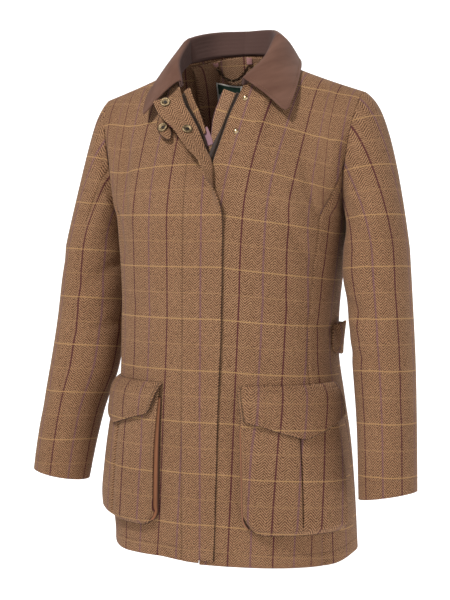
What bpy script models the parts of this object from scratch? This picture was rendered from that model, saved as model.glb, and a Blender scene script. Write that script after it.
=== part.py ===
"""Field coat on a hidden form, built as cut-and-sewn cloth walls. Metres, +Z up, the front faces -Y."""

import math

import bmesh
import bpy
import numpy as np

for item in list(bpy.data.objects):
    bpy.data.objects.remove(item)

# Driving sizes
CLOTH = 0.0024
HEM_Z = -0.806
UNDERARM_Z = -0.255
SQUARE = 0.05
NECK_SHARE = 0.30
POCKET_STAND = 0.014
SLEEVE_TURN = math.radians(18)
RIGHT_ARM_BACK = 0.030
CUFF_TILT = 0.007

# Body sections: height, half width, depth in front of the side line, depth behind it
TORSO = (
    (-0.806, 0.214, 0.152, 0.138),
    (-0.700, 0.208, 0.151, 0.136),
    (-0.620, 0.201, 0.151, 0.129),
    (-0.550, 0.191, 0.151, 0.117),
    (-0.480, 0.182, 0.149, 0.102),
    (-0.410, 0.183, 0.148, 0.099),
    (-0.340, 0.190, 0.147, 0.106),
    (-0.255, 0.199, 0.144, 0.118),
)
# Front edges of the open neck: height, edge of the wearer's right front, edge of the left front
EDGES = (
    (-0.255, 0.000, 0.001),
    (-0.200, 0.000, 0.008),
    (-0.165, 0.000, 0.015),
    (-0.141, -0.0050, 0.021),
    (-0.119, -0.0165, 0.026),
    (-0.097, -0.0315, 0.031),
    (-0.075, -0.0480, 0.038),
    (-0.047, -0.0620, 0.048),
)
# Half the neck seam from the break of the collar to the centre back: share, x, y, z
NECK_FRONT = ((0.0, 0.057, -0.081, -0.047), (0.5, 0.078, -0.047, -0.024), (1.0, 0.080, 0.0, 0.0))
NECK_BACK = ((0.0, 0.0, 0.058, 0.016), (0.5, 0.048, 0.045, 0.012), (1.0, 0.080, 0.0, 0.0))
SHOULDER_TIP = (0.2265, 0.005, -0.055)
# Sleeve sections below the cap: height, centre x, centre y, half width, half depth
SLEEVE = (
    (-0.695, 0.2885, -0.070, 0.0440, 0.0470),
    (-0.577, 0.2800, -0.049, 0.0455, 0.0540),
    (-0.490, 0.2720, -0.037, 0.0480, 0.0580),
    (-0.400, 0.2630, -0.027, 0.0495, 0.0610),
    (-0.310, 0.2545, -0.018, 0.0500, 0.0635),
)


def hermite(start, end, leave, arrive, t):
    """Cubic from start to end with the two tangents given."""
    return (
        start * (2 * t**3 - 3 * t**2 + 1)
        + leave * (t**3 - 2 * t**2 + t)
        + end * (3 * t**2 - 2 * t**3)
        + arrive * (t**3 - t**2)
    )


def through(rows, at):
    """Smooth values of a table at places along its first column."""
    data = np.array(rows, float)
    along = data[:, 0]
    values = data[:, 1:]
    slopes = np.gradient(values, along, axis=0)
    at = np.clip(np.asarray(at, float), along[0], along[-1])
    k = np.clip(np.searchsorted(along, at) - 1, 0, len(along) - 2)
    span = (along[k + 1] - along[k])[..., None]
    t = (at - along[k])[..., None] / span
    return hermite(values[k], values[k + 1], slopes[k] * span, slopes[k + 1] * span, t)


def ease(low, high, at):
    t = np.clip((at - low) / (high - low), 0, 1)
    return t * t * (3 - 2 * t)


def stack(*columns):
    return np.stack(np.broadcast_arrays(*columns), axis=-1).astype(float)


def unit(vectors):
    return vectors / np.linalg.norm(vectors, axis=-1, keepdims=True)


def ring(z, share, back):
    """Point of the body section at height z, share 0 on the centre line to 1 at the side."""
    half_width, fore, aft = np.moveaxis(through(TORSO, z), -1, 0)
    angle = share * math.pi / 2
    swell = 1 + SQUARE * np.sin(2 * angle) ** 2
    deep = np.where(back, aft, -fore)
    return stack(half_width * np.sin(angle) * swell, deep * np.cos(angle) * swell, z)


def body(side, back, share, level):
    """Outer cloth surface. Level 0 is the hem, 1 the underarm, 2 the neck and shoulder seam."""
    share, level = np.broadcast_arrays(np.asarray(share, float), np.asarray(level, float))
    low = np.clip(level, 0, 1)
    point = ring(HEM_Z + (UNDERARM_Z - HEM_Z) * low, share, back)
    t = np.clip(level - 1, 0, 1)[..., None]
    start = ring(np.full(share.shape, UNDERARM_Z), share, back)
    rise = (start - ring(np.full(share.shape, UNDERARM_Z - 0.02), share, back)) / 0.02
    neck = through(NECK_BACK if back else NECK_FRONT, share / NECK_SHARE)
    along = np.clip((share - NECK_SHARE) / (1 - NECK_SHARE), 0, 1)[..., None]
    tip = np.array(SHOULDER_TIP)
    shoulder = np.array(NECK_FRONT[-1][1:]) * (1 - along) + tip * along
    shoulder[..., 2] -= 0.002 * np.sin(math.pi * along[..., 0])
    on_neck = (share < NECK_SHARE)[..., None]
    end = np.where(on_neck, neck, shoulder)
    turn = -1.0 if back else 1.0
    scoop = ease(0.50, 1.0, share)[..., None]
    leave = rise * 0.20 * (1 - scoop) + scoop * np.array((-0.02, -0.25 * turn, 0.02))
    to_break = np.array((0.10, 0.06, 0.17))
    tuck = np.array((-0.20, 0, 0)) * ease(0.0, 0.11, share)[..., None]
    over = np.array((-0.06, 0, 0)) * ease(0.42, NECK_SHARE, share)[..., None]
    to_neck = np.array((0.0, -0.02, 0.16)) if back else to_break + tuck
    roll = ease(0.0, NECK_SHARE, share)[..., None]
    arrive = to_neck * (1 - roll) + roll * (np.array((0.0, 0.17 * turn, 0.0)) + (0 if back else over))
    arrive = arrive * (1 - scoop) + scoop * np.array((0.0, 0.20 * turn, 0.0))
    upper = hermite(start, end, leave, arrive, t)
    point = np.where(t > 0, upper, point)
    if not back:
        centre = hermite(
            np.array((0.0, -TORSO[-1][2], UNDERARM_Z)), np.array(NECK_FRONT[0][1:]),
            np.array((0.0, 0.0, 0.20)), to_break, t)
        edge = through(EDGES, centre[..., 2])[..., 1 if side > 0 else 0] * side
        point[..., 0] += (1 - share) ** (4 if side > 0 else 9) * (edge - centre[..., 0]) * (level > 1)
    near_hem = ease(0.16, 0.0, level)
    flank = ease(0.42, 0.75, share) * (side < 0)
    hang = 0 if back or side < 0 else 0.007 * ease(1.0, 0.7, share)
    waist = np.exp(-(((point[..., 2] + 0.46) / 0.08) ** 2))
    point[..., 0] += (0.008 * waist - 0.012 * near_hem) * flank
    point[..., 2] += 0.011 * ease(0.30, 0.0, level) * flank - near_hem * hang
    return point * np.array((side, 1.0, 1.0))


def sleeve(side, round_, along):
    """Sleeve surface: round 0 is the top of the cap, 0.25 the front, 0.5 the underarm; along 1 the biceps."""
    round_, along = np.broadcast_arrays(np.asarray(round_, float) % 1.0, np.asarray(along, float))
    front = body(1, False, np.ones_like(round_), 2 - 2 * np.clip(round_, 0, 0.5))
    rear = body(1, True, np.ones_like(round_), 2 * np.clip(round_, 0.5, 1))
    start = np.where((round_ <= 0.5)[..., None], front, rear)
    start[..., 0] += 0.0006 + 0.0018 * ease(0.2, 0.5, 0.5 - np.abs(round_ - 0.5))

    def section(z):
        values = through(SLEEVE, z)
        step = through(SLEEVE, z - 0.01) - through(SLEEVE, z + 0.01)
        axis = stack(step[..., 0], step[..., 1], np.full(z.shape, -0.02))
        axis /= np.linalg.norm(axis, axis=-1, keepdims=True)
        out = np.array((math.cos(SLEEVE_TURN), math.sin(SLEEVE_TURN), 0.0))
        out = out - axis * (axis @ out)[..., None]
        out /= np.linalg.norm(out, axis=-1, keepdims=True)
        fore = np.cross(axis, out)
        turn = 2 * math.pi * round_
        lag = RIGHT_ARM_BACK * ease(SLEEVE[0][0], -0.42, z) * (side < 0)
        tilt = CUFF_TILT * ease(-0.50, SLEEVE[0][0], z)
        centre = stack(values[..., 0], values[..., 1] + lag, z + tilt * np.cos(turn))
        elbow = 0.014 * np.exp(-(((z + 0.45) / 0.09) ** 2)) * (side < 0)
        wide = values[..., 2] * np.cos(turn) - elbow * np.clip(-np.cos(turn), 0, 1)
        deep = values[..., 3] * np.sin(turn)
        return centre + out * wide[..., None] + fore * deep[..., None]

    first = np.full(round_.shape, SLEEVE[-1][0])
    end = section(first)
    lean = np.cos(2 * math.pi * round_)[..., None]
    top = ((1 + lean) / 2) ** 2
    under = ((1 - lean) / 2) ** 2
    flank = 1 - top - under
    leave = top * np.array((0.10, 0, -0.10)) + flank * np.array((0.055, 0, -0.10))
    leave += under * np.array((0.03, 0, -0.03))
    arrive = top * np.array((0.04, -0.02, -0.26)) + flank * np.array((0.02, -0.01, -0.15))
    arrive += under * np.array((0, 0, -0.06))
    cap = hermite(start, end, leave, arrive, np.clip(along, 0, 1)[..., None])
    tube = section(first + (SLEEVE[0][0] - first) * np.clip(along - 1, 0, 1))
    return np.where((along <= 1)[..., None], cap, tube) * np.array((side, 1.0, 1.0))


def facing_out(surface, u, v, outward):
    """Unit normal of surface(u, v) by small steps, turned to the side that outward points to."""
    step_u = np.where(u > 0.5, -1e-3, 1e-3)
    step_v = np.where(v > 1.5, -1e-3, 1e-3)
    at = surface(u, v)
    along_u = (surface(u + step_u, v) - at) / step_u[..., None]
    along_v = (surface(u, v + step_v) - at) / step_v[..., None]
    normal = np.cross(along_u, along_v) * outward
    return normal / np.linalg.norm(normal, axis=-1, keepdims=True)


def body_out(side, back, share, level):
    share, level = np.broadcast_arrays(np.asarray(share, float), np.asarray(level, float))
    outward = side * (-1.0 if back else 1.0)
    out = facing_out(lambda s, v: body(side, back, s, v), share, level, outward)
    out[..., 0] *= ease(0.0, 0.06, share)
    return out / np.linalg.norm(out, axis=-1, keepdims=True)


def across(back, share, level, off):
    """Points moved off the body by a distance, for shares that run from the right side to the left."""
    share, level, off = np.broadcast_arrays(*(np.asarray(a, float) for a in (share, level, off)))
    found = np.zeros(share.shape + (3,))
    for side in (-1, 1):
        mine = share >= 0 if side > 0 else share < 0
        place = np.abs(share)
        point = body(side, back, place, level) + body_out(side, back, place, level) * off[..., None]
        found[mine] = point[mine]
    return found


def level_of(z):
    return (np.asarray(z, float) - HEM_Z) / (UNDERARM_Z - HEM_Z)


coat = bpy.data.collections.new("field_coat")
bpy.context.scene.collection.children.link(coat)


def finish(name, bm, colour):
    bmesh.ops.recalc_face_normals(bm, faces=bm.faces)
    if bm.calc_volume(signed=True) < 0:
        bmesh.ops.reverse_faces(bm, faces=bm.faces)
    mesh = bpy.data.meshes.new(name)
    bm.to_mesh(mesh)
    bm.free()
    material = bpy.data.materials.new(name)
    material.use_nodes = True
    material.node_tree.nodes["Principled BSDF"].inputs["Base Color"].default_value = (*colour, 1)
    mesh.materials.append(material)
    made = bpy.data.objects.new(name, mesh)
    coat.objects.link(made)
    return made


def wall(name, outer, inner, colour):
    """One cloth piece: its outer and inner grids of points, with a strip of faces round the rim."""
    bm = bmesh.new()
    rows, columns = outer.shape[:2]
    sheets = []
    for points in (outer, inner):
        made = bmesh.ops.create_grid(bm, x_segments=columns - 1, y_segments=rows - 1, size=0.5)
        order = sorted(made["verts"], key=lambda v: (round(v.co.y, 5), round(v.co.x, 5)))
        for vertex, point in zip(order, points.reshape(-1, 3)):
            vertex.co = point
        sheets.append(np.array(order, dtype=object).reshape(rows, columns))
    rims = [[*g[0, :-1], *g[:-1, -1], *g[-1, :0:-1], *g[:0:-1, 0]] for g in sheets]
    for k in range(len(rims[0])):
        bm.faces.new((rims[0][k - 1], rims[0][k], rims[1][k], rims[1][k - 1]))
    return finish(name, bm, colour)


TWEED = (0.22, 0.13, 0.07)
SUEDE = (0.16, 0.08, 0.05)
TAN = (0.45, 0.25, 0.13)
BRASS = (0.45, 0.30, 0.12)
LINING = (0.40, 0.24, 0.30)
DARK = (0.03, 0.025, 0.025)
SIDES = (("right", -1), ("left", 1))


# Rows of every body panel: below the underarm, past the lower armhole, and up to the shoulder
LOW = np.linspace(0, 1, 13)
MIDDLE = np.linspace(1, 1.40, 7)[1:]
HIGH = np.array((1.45, 1.54, 1.63, 1.72, 1.81, 1.90, 1.9988))


# Share of the half front at which the shaping seam runs, by level
def princess(level):
    return 0.64 + 0.02 * ease(0.5, 1.0, level) + 0.3385 * ease(0.98, 1.44, level)


GAP = 0.0010
# Fronts and backs are stored in two lengths, below and above the chest, so that each follows its hollow
LOWER_ROWS = np.concatenate([LOW, MIDDLE[:2], [1.1990]])
FRONT_COLUMNS = np.insert(np.linspace(0, 1, 12), 1, 0.045)
UPPER_ROWS = np.concatenate([[1.2004], MIDDLE[3:], HIGH])
for name, side in SIDES:
    for length, rows in (("", LOWER_ROWS), ("top_", UPPER_ROWS)):
        # Centre front, from the closing edge to the shaping seam and the upper armhole
        level = rows[:, None]
        limit = np.where(level > 1.42, 1.0, princess(level) - GAP * np.where(level > 1, 4.6, 1))
        share = 0.001 + FRONT_COLUMNS[None, :] * (limit - 0.001)
        level = level + 0 * share
        lift = 0.0032 * (1 - ease(0.05, 0.24, share)) * (side < 0)
        out = body_out(side, False, share, level)
        outer = body(side, False, share, level) + out * lift[..., None]
        wall(f"front_{length}{name}", outer, outer - out * CLOTH, TWEED)

        # Back half, from the centre back seam to the side seam and the armhole
        level = rows[:, None]
        share = 0.001 + (1 - 0.0006 - 0.001) * np.linspace(0, 1, 14)[None, :]
        level = level + 0 * share
        outer = body(side, True, share, level)
        wall(f"back_{length}{name}", outer, outer - body_out(side, True, share, level) * CLOTH, TWEED)

    # Side front, from the shaping seam to the side seam and the lower armhole
    level = np.concatenate([LOW, MIDDLE])[:, None]
    low = princess(level) + GAP * np.where(level > 1, 4.6, 1)
    share = low + (1 - 0.0006 - low) * np.linspace(0, 1, 6)[None, :]
    level = level + 0 * share
    outer = body(side, False, share, level)
    wall(f"side_front_{name}", outer, outer - body_out(side, False, share, level) * CLOTH, TWEED)

    # Two-piece sleeve: the top piece over the arm, in two lengths too, and the under piece beside the body
    cap = np.linspace(0.004, 1, 8)
    tube = np.linspace(1, 2, 8)[1:]
    for piece, start, end, columns, rows in (
        ("cap", -0.31, 0.29, 13, np.concatenate([cap[:-1], [0.9994]])),
        ("top", -0.31, 0.29, 13, np.concatenate([[1.0004], tube])),
        ("under", 0.29, 0.69, 9, np.concatenate([cap, tube])),
    ):
        turn = np.linspace(start + 0.0009, end - 0.0009, columns)[None, :]
        run, turn = np.broadcast_arrays(rows[:, None], turn)
        outer = sleeve(side, turn, run)
        ahead = sleeve(side, turn + 1e-3, run) - sleeve(side, turn - 1e-3, run)
        step = np.where(run > 1, -1e-3, 1e-3)
        down = (sleeve(side, turn, run + step) - outer) / step[..., None]
        inward = np.cross(down, ahead) * side
        inward /= np.linalg.norm(inward, axis=-1, keepdims=True)
        seam = run < 0.05
        inward[..., 0] = np.where(seam, side * np.minimum(inward[..., 0] * side, 0), inward[..., 0])
        wall(f"sleeve_{piece}_{name}", outer - inward * CLOTH, outer, TWEED)


def sheet(name, middle, thick, colour):
    """A free cloth piece round its middle surface, given as a grid of points."""
    along = np.gradient(middle, axis=0)
    over = np.gradient(middle, axis=1)
    out = np.cross(over, along)
    out /= np.linalg.norm(out, axis=-1, keepdims=True)
    return wall(name, middle + out * thick / 2, middle - out * thick / 2, colour)


# Collar: a stand on the neck seam, and a leaf that folds over its top and lies on the shoulders
COLLAR_THICK = 0.0026
COLLAR_COLUMNS = 9
# Share from the break to the centre back: rise of the fold above the neck seam, its spread outwards
STAND = (
    (0.00, 0.010, 0.000),
    (0.25, 0.024, 0.001),
    (0.50, 0.040, 0.000),
    (0.75, 0.042, 0.005),
    (1.00, 0.040, 0.010),
)
# Share: outer edge of the leaf, x, y, z
LEAF = (
    (0.00, 0.126, -0.092, -0.094),
    (0.25, 0.129, -0.048, -0.044),
    (0.50, 0.111, 0.022, 0.001),
    (0.75, 0.067, 0.076, 0.000),
    (1.00, 0.000, 0.092, 0.000),
)


def neck_seam(side):
    front = body(side, False, np.linspace(0.002, NECK_SHARE, COLLAR_COLUMNS), 2.0)
    rear = body(side, True, np.linspace(NECK_SHARE, 0.0, COLLAR_COLUMNS)[1:], 2.0)
    return np.concatenate([front, rear])


def both_sides(make):
    """Rows made for the left half, and its mirror partner before it, run from right front to left front."""
    left = make(1)
    right = make(-1)
    return np.concatenate([right, left[:, ::-1][:, 1:]], axis=1)


def stand_and_leaf(side):
    seam = neck_seam(side)
    share = np.linspace(0, 1, len(seam))
    run = np.gradient(seam, axis=0)
    away = stack(run[:, 1], -run[:, 0], 0 * share) * side
    away /= np.linalg.norm(away, axis=-1, keepdims=True)
    away[-1] = (0, 1, 0)
    rise, spread = through(STAND, share).T
    base = seam + np.array((0, 0, 0.0016)) - away * COLLAR_THICK * 0.8
    fold = seam + away * spread[:, None] + stack(0 * rise, 0 * rise, rise)
    return base, fold, away, through(LEAF, share) * np.array((side, 1, 1))


def stand(side):
    base, fold, away, edge = stand_and_leaf(side)
    t = np.linspace(0, 1, 4)[:, None, None]
    return base * (1 - t) + fold * t + away * 0.004 * t * (1 - t)


def leaf(side):
    base, fold, away, edge = stand_and_leaf(side)
    start = fold + np.array((0, 0, 0.0036)) - away * 0.0012
    t = np.linspace(0, 1, 7)[:, None, None]
    leave = away * 0.045 + np.array((0, 0, 0.004))
    arrive = (edge - start) * 0.9 + away * 0.01 + np.array((0, 0, -0.03))
    return hermite(start, edge, leave, arrive, t)


sheet("collar_stand", both_sides(stand), COLLAR_THICK, SUEDE)
sheet("collar_leaf", both_sides(leaf), COLLAR_THICK, SUEDE)

# Fly: the strip that covers the zip. It lies over the left front below and is turned back at the neck
FLY_THICK = 0.0024
FLY_ROLL = 0.17
# Height: width of the strip, share of the width at which it folds back, how far it is turned there in degrees
FLY = (
    (-0.808, 0.024, 0.60, 0.0),
    (-0.600, 0.030, 0.60, 0.0),
    (-0.420, 0.036, 0.60, 0.0),
    (-0.300, 0.037, 0.60, 0.0),
    (-0.252, 0.037, 0.60, 14.0),
    (-0.226, 0.037, 0.56, 52.0),
    (-0.204, 0.037, 0.50, 98.0),
    (-0.182, 0.037, 0.43, 126.0),
    (-0.163, 0.037, 0.30, 134.0),
    (-0.141, 0.036, -0.02, 134.0),
    (-0.119, 0.036, -0.17, 146.0),
    (-0.097, 0.041, -0.17, 155.0),
    (-0.056, 0.046, -0.17, 163.0),
)


def centre_level(z):
    """Level of the closing edge at a height."""
    places = np.linspace(0, 2, 801)
    return np.interp(z, body(1, False, 0 * places, places)[:, 2], places)


def edge_frame(side, z):
    """Points of a front's closing edge with its directions: across to the wearer's left, and outwards."""
    level = centre_level(np.asarray(z, float))
    start = 0.001 + 0 * level
    point = body(side, False, start, level)
    out = body_out(side, False, 0.02 + 0 * level, level)
    run = body(side, False, start, level + 0.002) - body(side, False, start, level - 0.002)
    over = np.cross(out, run)
    over *= np.sign(over[..., :1])
    over /= np.linalg.norm(over, axis=-1, keepdims=True)
    return point, over, out


def fly(share, z):
    """Middle of the fly and the direction its outer face looks in."""
    point, over, out = edge_frame(-1, z)
    width, crease, degrees = np.moveaxis(through(FLY, z), -1, 0)
    free = ease(60, 120, degrees)[..., None]
    out = unit(out * (1 - free) + np.array((0.0, -1.0, 0.0)) * free)
    tilt = 0.31 * ease(-0.16, -0.06, z)
    over = unit(over * (1 - free) + stack(np.sqrt(1 - tilt**2), 0 * tilt, tilt) * free)

    def turn(at):
        return np.radians(np.maximum(degrees, 0) * ease(crease - FLY_ROLL, crease + FLY_ROLL, at))[..., None]

    lift = 0.0032 - FLY_THICK / 2 + 0.0050 * np.sin(turn(0 * share) / 2) ** 2
    place = point + out * lift + over * (0.0005 + 0.001 * np.sin(turn(0 * share)))
    for k in range(24):
        bent = turn(share * (k + 0.5) / 24)
        place = place + (over * np.cos(bent) + out * np.sin(bent)) * (width * share / 24)[..., None]
    return place, out * np.cos(turn(share)) - over * np.sin(turn(share))


def fly_inside(share, z):
    """Where the fly's inner face lies, with the direction it looks in there."""
    place, face = fly(share, z)
    along = fly(share, z + 0.002)[0] - fly(share, z - 0.002)[0]
    cross = fly(share + 0.02, z)[0] - fly(share - 0.02, z)[0]
    inward = unit(np.cross(along, cross))
    inward = inward * -np.sign(np.sum(inward * face, axis=-1, keepdims=True))
    return place + inward * FLY_THICK / 2, inward


z = np.concatenate([np.linspace(-0.808, -0.350, 9), np.linspace(-0.330, -0.056, 17)])[:, None]
share, z = np.broadcast_arrays(np.linspace(0, 1, 10)[None, :], z)
z = z - 0.013 * ease(-0.13, -0.056, z) * (1 - share) ** 2
middle, face = fly(share, z)
wall("fly", middle + face * FLY_THICK / 2, middle - face * FLY_THICK / 2, TWEED)

# Zip tapes along both open edges, and the guard strip behind the left one
TAPE_THICK = 0.0012
z = np.linspace(-0.180, -0.058, 9)[:, None]
for name, side, inside, outside in (("right", -1, 0.0045, 0.0040), ("left", 1, 0.006, 0.0075)):
    place = np.linspace(-inside, outside, 3)[None, :] + 0 * z
    point, over, out = edge_frame(side, z + 0 * place)
    lift = 0.0032 * (side < 0)
    middle = point - over * (place * side)[..., None] + out * (lift - CLOTH - TAPE_THICK / 2 - 0.0027)
    sheet(f"zip_tape_{name}", middle, TAPE_THICK, DARK)
z = np.linspace(-0.200, -0.060, 10)[:, None]
reach = 0.028 + 0.011 * ease(-0.150, -0.085, z)
place = reach * np.linspace(0, 1, 5)[None, :] - 0.008
point, over, out = edge_frame(1, z + 0 * place)
guard_drop = CLOTH + 0.0066 + 0.05 * np.clip(place, 0, 1)
sheet("zip_guard", point - over * place[..., None] - out * guard_drop[..., None], 0.0020, TWEED)

# Folded edge of the right front's facing, which shows past its zip tape
z = np.linspace(-0.140, -0.054, 9)[:, None]
width = 0.0075 + 0.0105 * ease(-0.165, -0.075, z)
place = 0.0005 + width * np.linspace(0, 1, 4)[None, :]
point, over, out = edge_frame(-1, z + 0 * place)
clear = ease(-0.12, -0.08, z)
drop = CLOTH + 0.0024 + (0.0016 + 0.10 * place) * clear
sheet("front_facing_right", point + over * place[..., None] - out * drop[..., None], 0.0018, TWEED)

# Zip slider, where the two edges meet under the fly
SLIDER = (0.0062, 0.0030, 0.0110)
level = centre_level(np.array(-0.194))
at = body(1, False, 0.001, level) * np.array((0, 1, 1)) + np.array((0.0046, 0.0022, 0))
bm = bmesh.new()
bmesh.ops.create_cube(bm, size=1)
bmesh.ops.scale(bm, vec=SLIDER, verts=bm.verts)
bmesh.ops.bevel(bm, geom=bm.edges, offset=0.0008, segments=2, affect="EDGES", profile=0.5)
bmesh.ops.translate(bm, vec=at, verts=bm.verts)
finish("zip_slider", bm, DARK)


def turned(name, profile, at, axis, colour):
    """A round piece from a profile of (radius, height) rows that starts and ends on the axis."""
    bm = bmesh.new()
    axis = np.asarray(axis) / np.linalg.norm(axis)
    across_axis = np.cross(axis, (0.3, 0.2, 0.9))
    across_axis /= np.linalg.norm(across_axis)
    line = [bm.verts.new(at + axis * high + across_axis * radius) for radius, high in profile]
    edges = [bm.edges.new((line[k], line[k + 1])) for k in range(len(line) - 1)]
    bmesh.ops.spin(bm, geom=line + edges, cent=at, axis=axis, angle=2 * math.pi, steps=12, use_merge=True)
    bmesh.ops.remove_doubles(bm, verts=bm.verts, dist=1e-5)
    return finish(name, bm, colour)


SOCKET = (
    (0, 0), (0.0070, 0), (0.0083, 0.0009), (0.0074, 0.0022),
    (0.0052, 0.0022), (0.0036, 0.0010), (0, 0.0010),
)
STUD = (
    (0, 0), (0.0042, 0), (0.0046, 0.0008), (0.0030, 0.0014),
    (0.0024, 0.0030), (0.0016, 0.0036), (0, 0.0037),
)
for name, share, height in (("upper", 0.61, -0.064), ("lower", 0.46, -0.116)):
    at, inward = fly_inside(np.array(share), np.array(height))
    turned(f"socket_{name}", SOCKET, at + inward * 0.0012, inward, BRASS)
for name, place, height in (("upper", 0.012, -0.073), ("lower", 0.014, -0.127)):
    level = centre_level(np.array(height))
    at = body(1, False, place / 0.3, level)
    out = body_out(1, False, place / 0.3, level)
    turned(f"stud_{name}", STUD, at + out * 0.0020, out, BRASS)

# Throat tab on the right front, with its own socket
TAB_SHARE = 0.186
level = np.linspace(1.450, 1.61, 7)[:, None]
half = 0.060 * np.sqrt(np.clip(1 - np.clip((1.53 - level) / 0.084, 0, 1) ** 2, 0.02, 1))
share = -(TAB_SHARE + half * np.linspace(-1, 1, 6)[None, :])
off = 0.0026 + 0.0050 * ease(1.60, 1.46, level)
wall("throat_tab", across(False, share, level, off + 0.0024), across(False, share, level, off), TWEED)
at = across(False, np.array(-TAB_SHARE), np.array(1.512), np.array(0.0108))
under = across(False, np.array(-TAB_SHARE), np.array(1.512), np.array(0.0))
turned("socket_tab", SOCKET, at, at - under, BRASS)

# Bellows pockets with a centre pleat, a pointed flap and a tan side gusset
BAG_LOW = -0.757
BAG_HIGH = -0.535
BAG_IN = 0.235
BAG_OUT = 0.860
BAG_THICK = 0.0022
LAID = 0.0009
PLEAT = ((0.44, 0.0), (0.475, 0.0015), (0.49, 0.0045), (0.51, 0.0045), (0.525, 0.0015), (0.56, 0.0))
BAG_COLUMNS = (0, 0.06, 0.16, 0.27, 0.37, *(p for p, depth in PLEAT), 0.64, 0.75, 0.85, 0.92, 0.97, 1)
BAG_ROWS = (0, 0.02, 0.05, 0.10, 0.25, 0.45, 0.65, 0.85, 1)


def bag_stand(p, q):
    """How far the pocket cloth stands off the coat, over its width p and its height q."""
    full = POCKET_STAND * (1 - 0.72 * q**2) * ease(0, 0.10, 1 - p) * ease(-0.02, 0.05, q)
    pleat = np.interp(p, *zip(*PLEAT), left=0, right=0) * ease(0.02, 0.10, q) * ease(0, 0.25, 1.02 - q)
    return LAID + BAG_THICK + np.maximum(full - pleat, 0)


def bag_bottom(p):
    corner = np.clip((np.abs(2 * p - 1) - 0.70) / 0.30, 0, 1)
    return BAG_LOW + 0.028 * (1 - np.sqrt(1 - 0.96 * corner**2))


for name, side in SIDES:
    p = np.array(BAG_COLUMNS, float)[None, :]
    q = np.array(BAG_ROWS, float)[:, None]
    p, q = np.broadcast_arrays(p, q)
    share = (BAG_IN + (BAG_OUT - BAG_IN) * p) * side
    level = level_of(bag_bottom(p) + (BAG_HIGH - bag_bottom(p)) * q)
    off = bag_stand(p, q)
    inner = across(False, share, level, off - BAG_THICK)
    wall(f"pocket_{name}", across(False, share, level, off), inner, TWEED)

    # Gusset, from the coat beside the pocket up under its inner edge
    q = np.linspace(0.06, 0.94, 9)[:, None]
    t = np.linspace(0, 1, 4)[None, :]
    q, t = np.broadcast_arrays(q, t)
    share = (BAG_IN - 0.010 + 0.018 * t**1.5) * side
    top = bag_stand(0.01 + 0 * q, q) - BAG_THICK - 0.0024
    off = 0.0020 + (top - 0.0020) * t
    level = level_of(bag_bottom(0 * q) + (BAG_HIGH - bag_bottom(0 * q)) * q)
    sheet(f"pocket_gusset_{name}", across(False, share, level, off), 0.0014, TAN)

    # Flap, sewn along its top and standing off the pocket below
    p = np.array((0, 0.03, 0.12, 0.24, 0.36, 0.48, 0.60, 0.72, 0.86, 0.97, 1))[None, :]
    q = np.array((0, 0.06, 0.14, 0.26, 0.45, 0.65, 0.85, 1))[:, None]
    p, q = np.broadcast_arrays(p, q)
    share = (0.226 + 0.646 * p) * side
    low = -0.577 - 0.031 * (1 - np.abs(p - 0.48) / np.where(p < 0.48, 0.48, 0.52))
    low = low + 0.006 * (ease(0.03, 0.0, p) + ease(0.97, 1.0, p))
    high = -0.524
    drop = (high - low) * q
    off = LAID + 0.0024 + 0.0140 * (1 - np.exp(-drop / 0.011))
    level = level_of(high - drop)
    inner = across(False, share, level, off - 0.0024)
    wall(f"pocket_flap_{name}", across(False, share, level, off), inner, TWEED)

    # Waist tab, round the side seam
    path = (
        (False, 0.90, 0.0040), (False, 0.94, 0.0060), (False, 0.98, 0.0105),
        (True, 0.98, 0.0125), (True, 0.93, 0.0125), (True, 0.86, 0.0110),
        (True, 0.78, 0.0080), (True, 0.70, 0.0050), (True, 0.64, 0.0040),
    )
    level = level_of(np.linspace(-0.477, -0.432, 5))
    faces = []
    for thick in (0.0, 0.003):
        columns = [across(back, share * side, level, off - thick) for back, share, off in path]
        faces.append(np.stack(columns, axis=1))
    wall(f"waist_tab_{name}", *faces, TWEED)

# Back neck facing, the lining below it where it shows, and a blank label
share = np.linspace(-0.30, 0.30, 15)[None, :]
FACING_LEVEL = 1.47
level = np.linspace(FACING_LEVEL, 1.994, 6)[:, None] + 0 * share
inner = across(True, share, level, -CLOTH - 0.0046)
wall("neck_facing", across(True, share, level, -CLOTH - 0.0032), inner, TWEED)
level = np.linspace(1.15, FACING_LEVEL - 0.003, 5)[:, None] + 0 * share
inner = across(True, share, level, -CLOTH - 0.0042)
wall("lining", across(True, share, level, -CLOTH - 0.0032), inner, LINING)
share = np.linspace(-0.185, -0.020, 6)[None, :]
level = np.linspace(1.645, 1.780, 4)[:, None] + 0 * share
inner = across(True, share, level, -CLOTH - 0.0066)
wall("label", across(True, share, level, -CLOTH - 0.0058), inner, (0.6, 0.6, 0.55))

# Hanging chain between two loops
for name, share in (("right", -0.165), ("left", 0.035)):
    shares = share + np.array((-0.016, 0.0, 0.016))[None, :]
    level = np.linspace(1.935, 1.992, 4)[:, None] + 0 * shares
    off = -CLOTH - 0.0058 - 0.0022 * np.array((0, 1, 0))[None, :] + 0 * level
    inner = across(True, shares, level, off - 0.0010)
    wall(f"chain_loop_{name}", across(True, shares, level, off), inner, (0.5, 0.3, 0.3))
share = np.linspace(-0.165, 0.035, 17)
sag = 1 - ((share + 0.065) / 0.10) ** 2
points = across(True, share, 1.925 - 0.105 * sag, -CLOTH - 0.0110)
curve = bpy.data.curves.new("hang_chain", "CURVE")
curve.dimensions = "3D"
curve.bevel_depth = 0.0011
curve.bevel_resolution = 2
curve.use_fill_caps = True
line = curve.splines.new("POLY")
line.points.add(len(points) - 1)
for knot, point in zip(line.points, points):
    knot.co = (*point, 1)
metal = bpy.data.materials.new("hang_chain")
metal.use_nodes = True
metal.node_tree.nodes["Principled BSDF"].inputs["Base Color"].default_value = (*BRASS, 1)
curve.materials.append(metal)
coat.objects.link(bpy.data.objects.new("hang_chain", curve))
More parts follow.
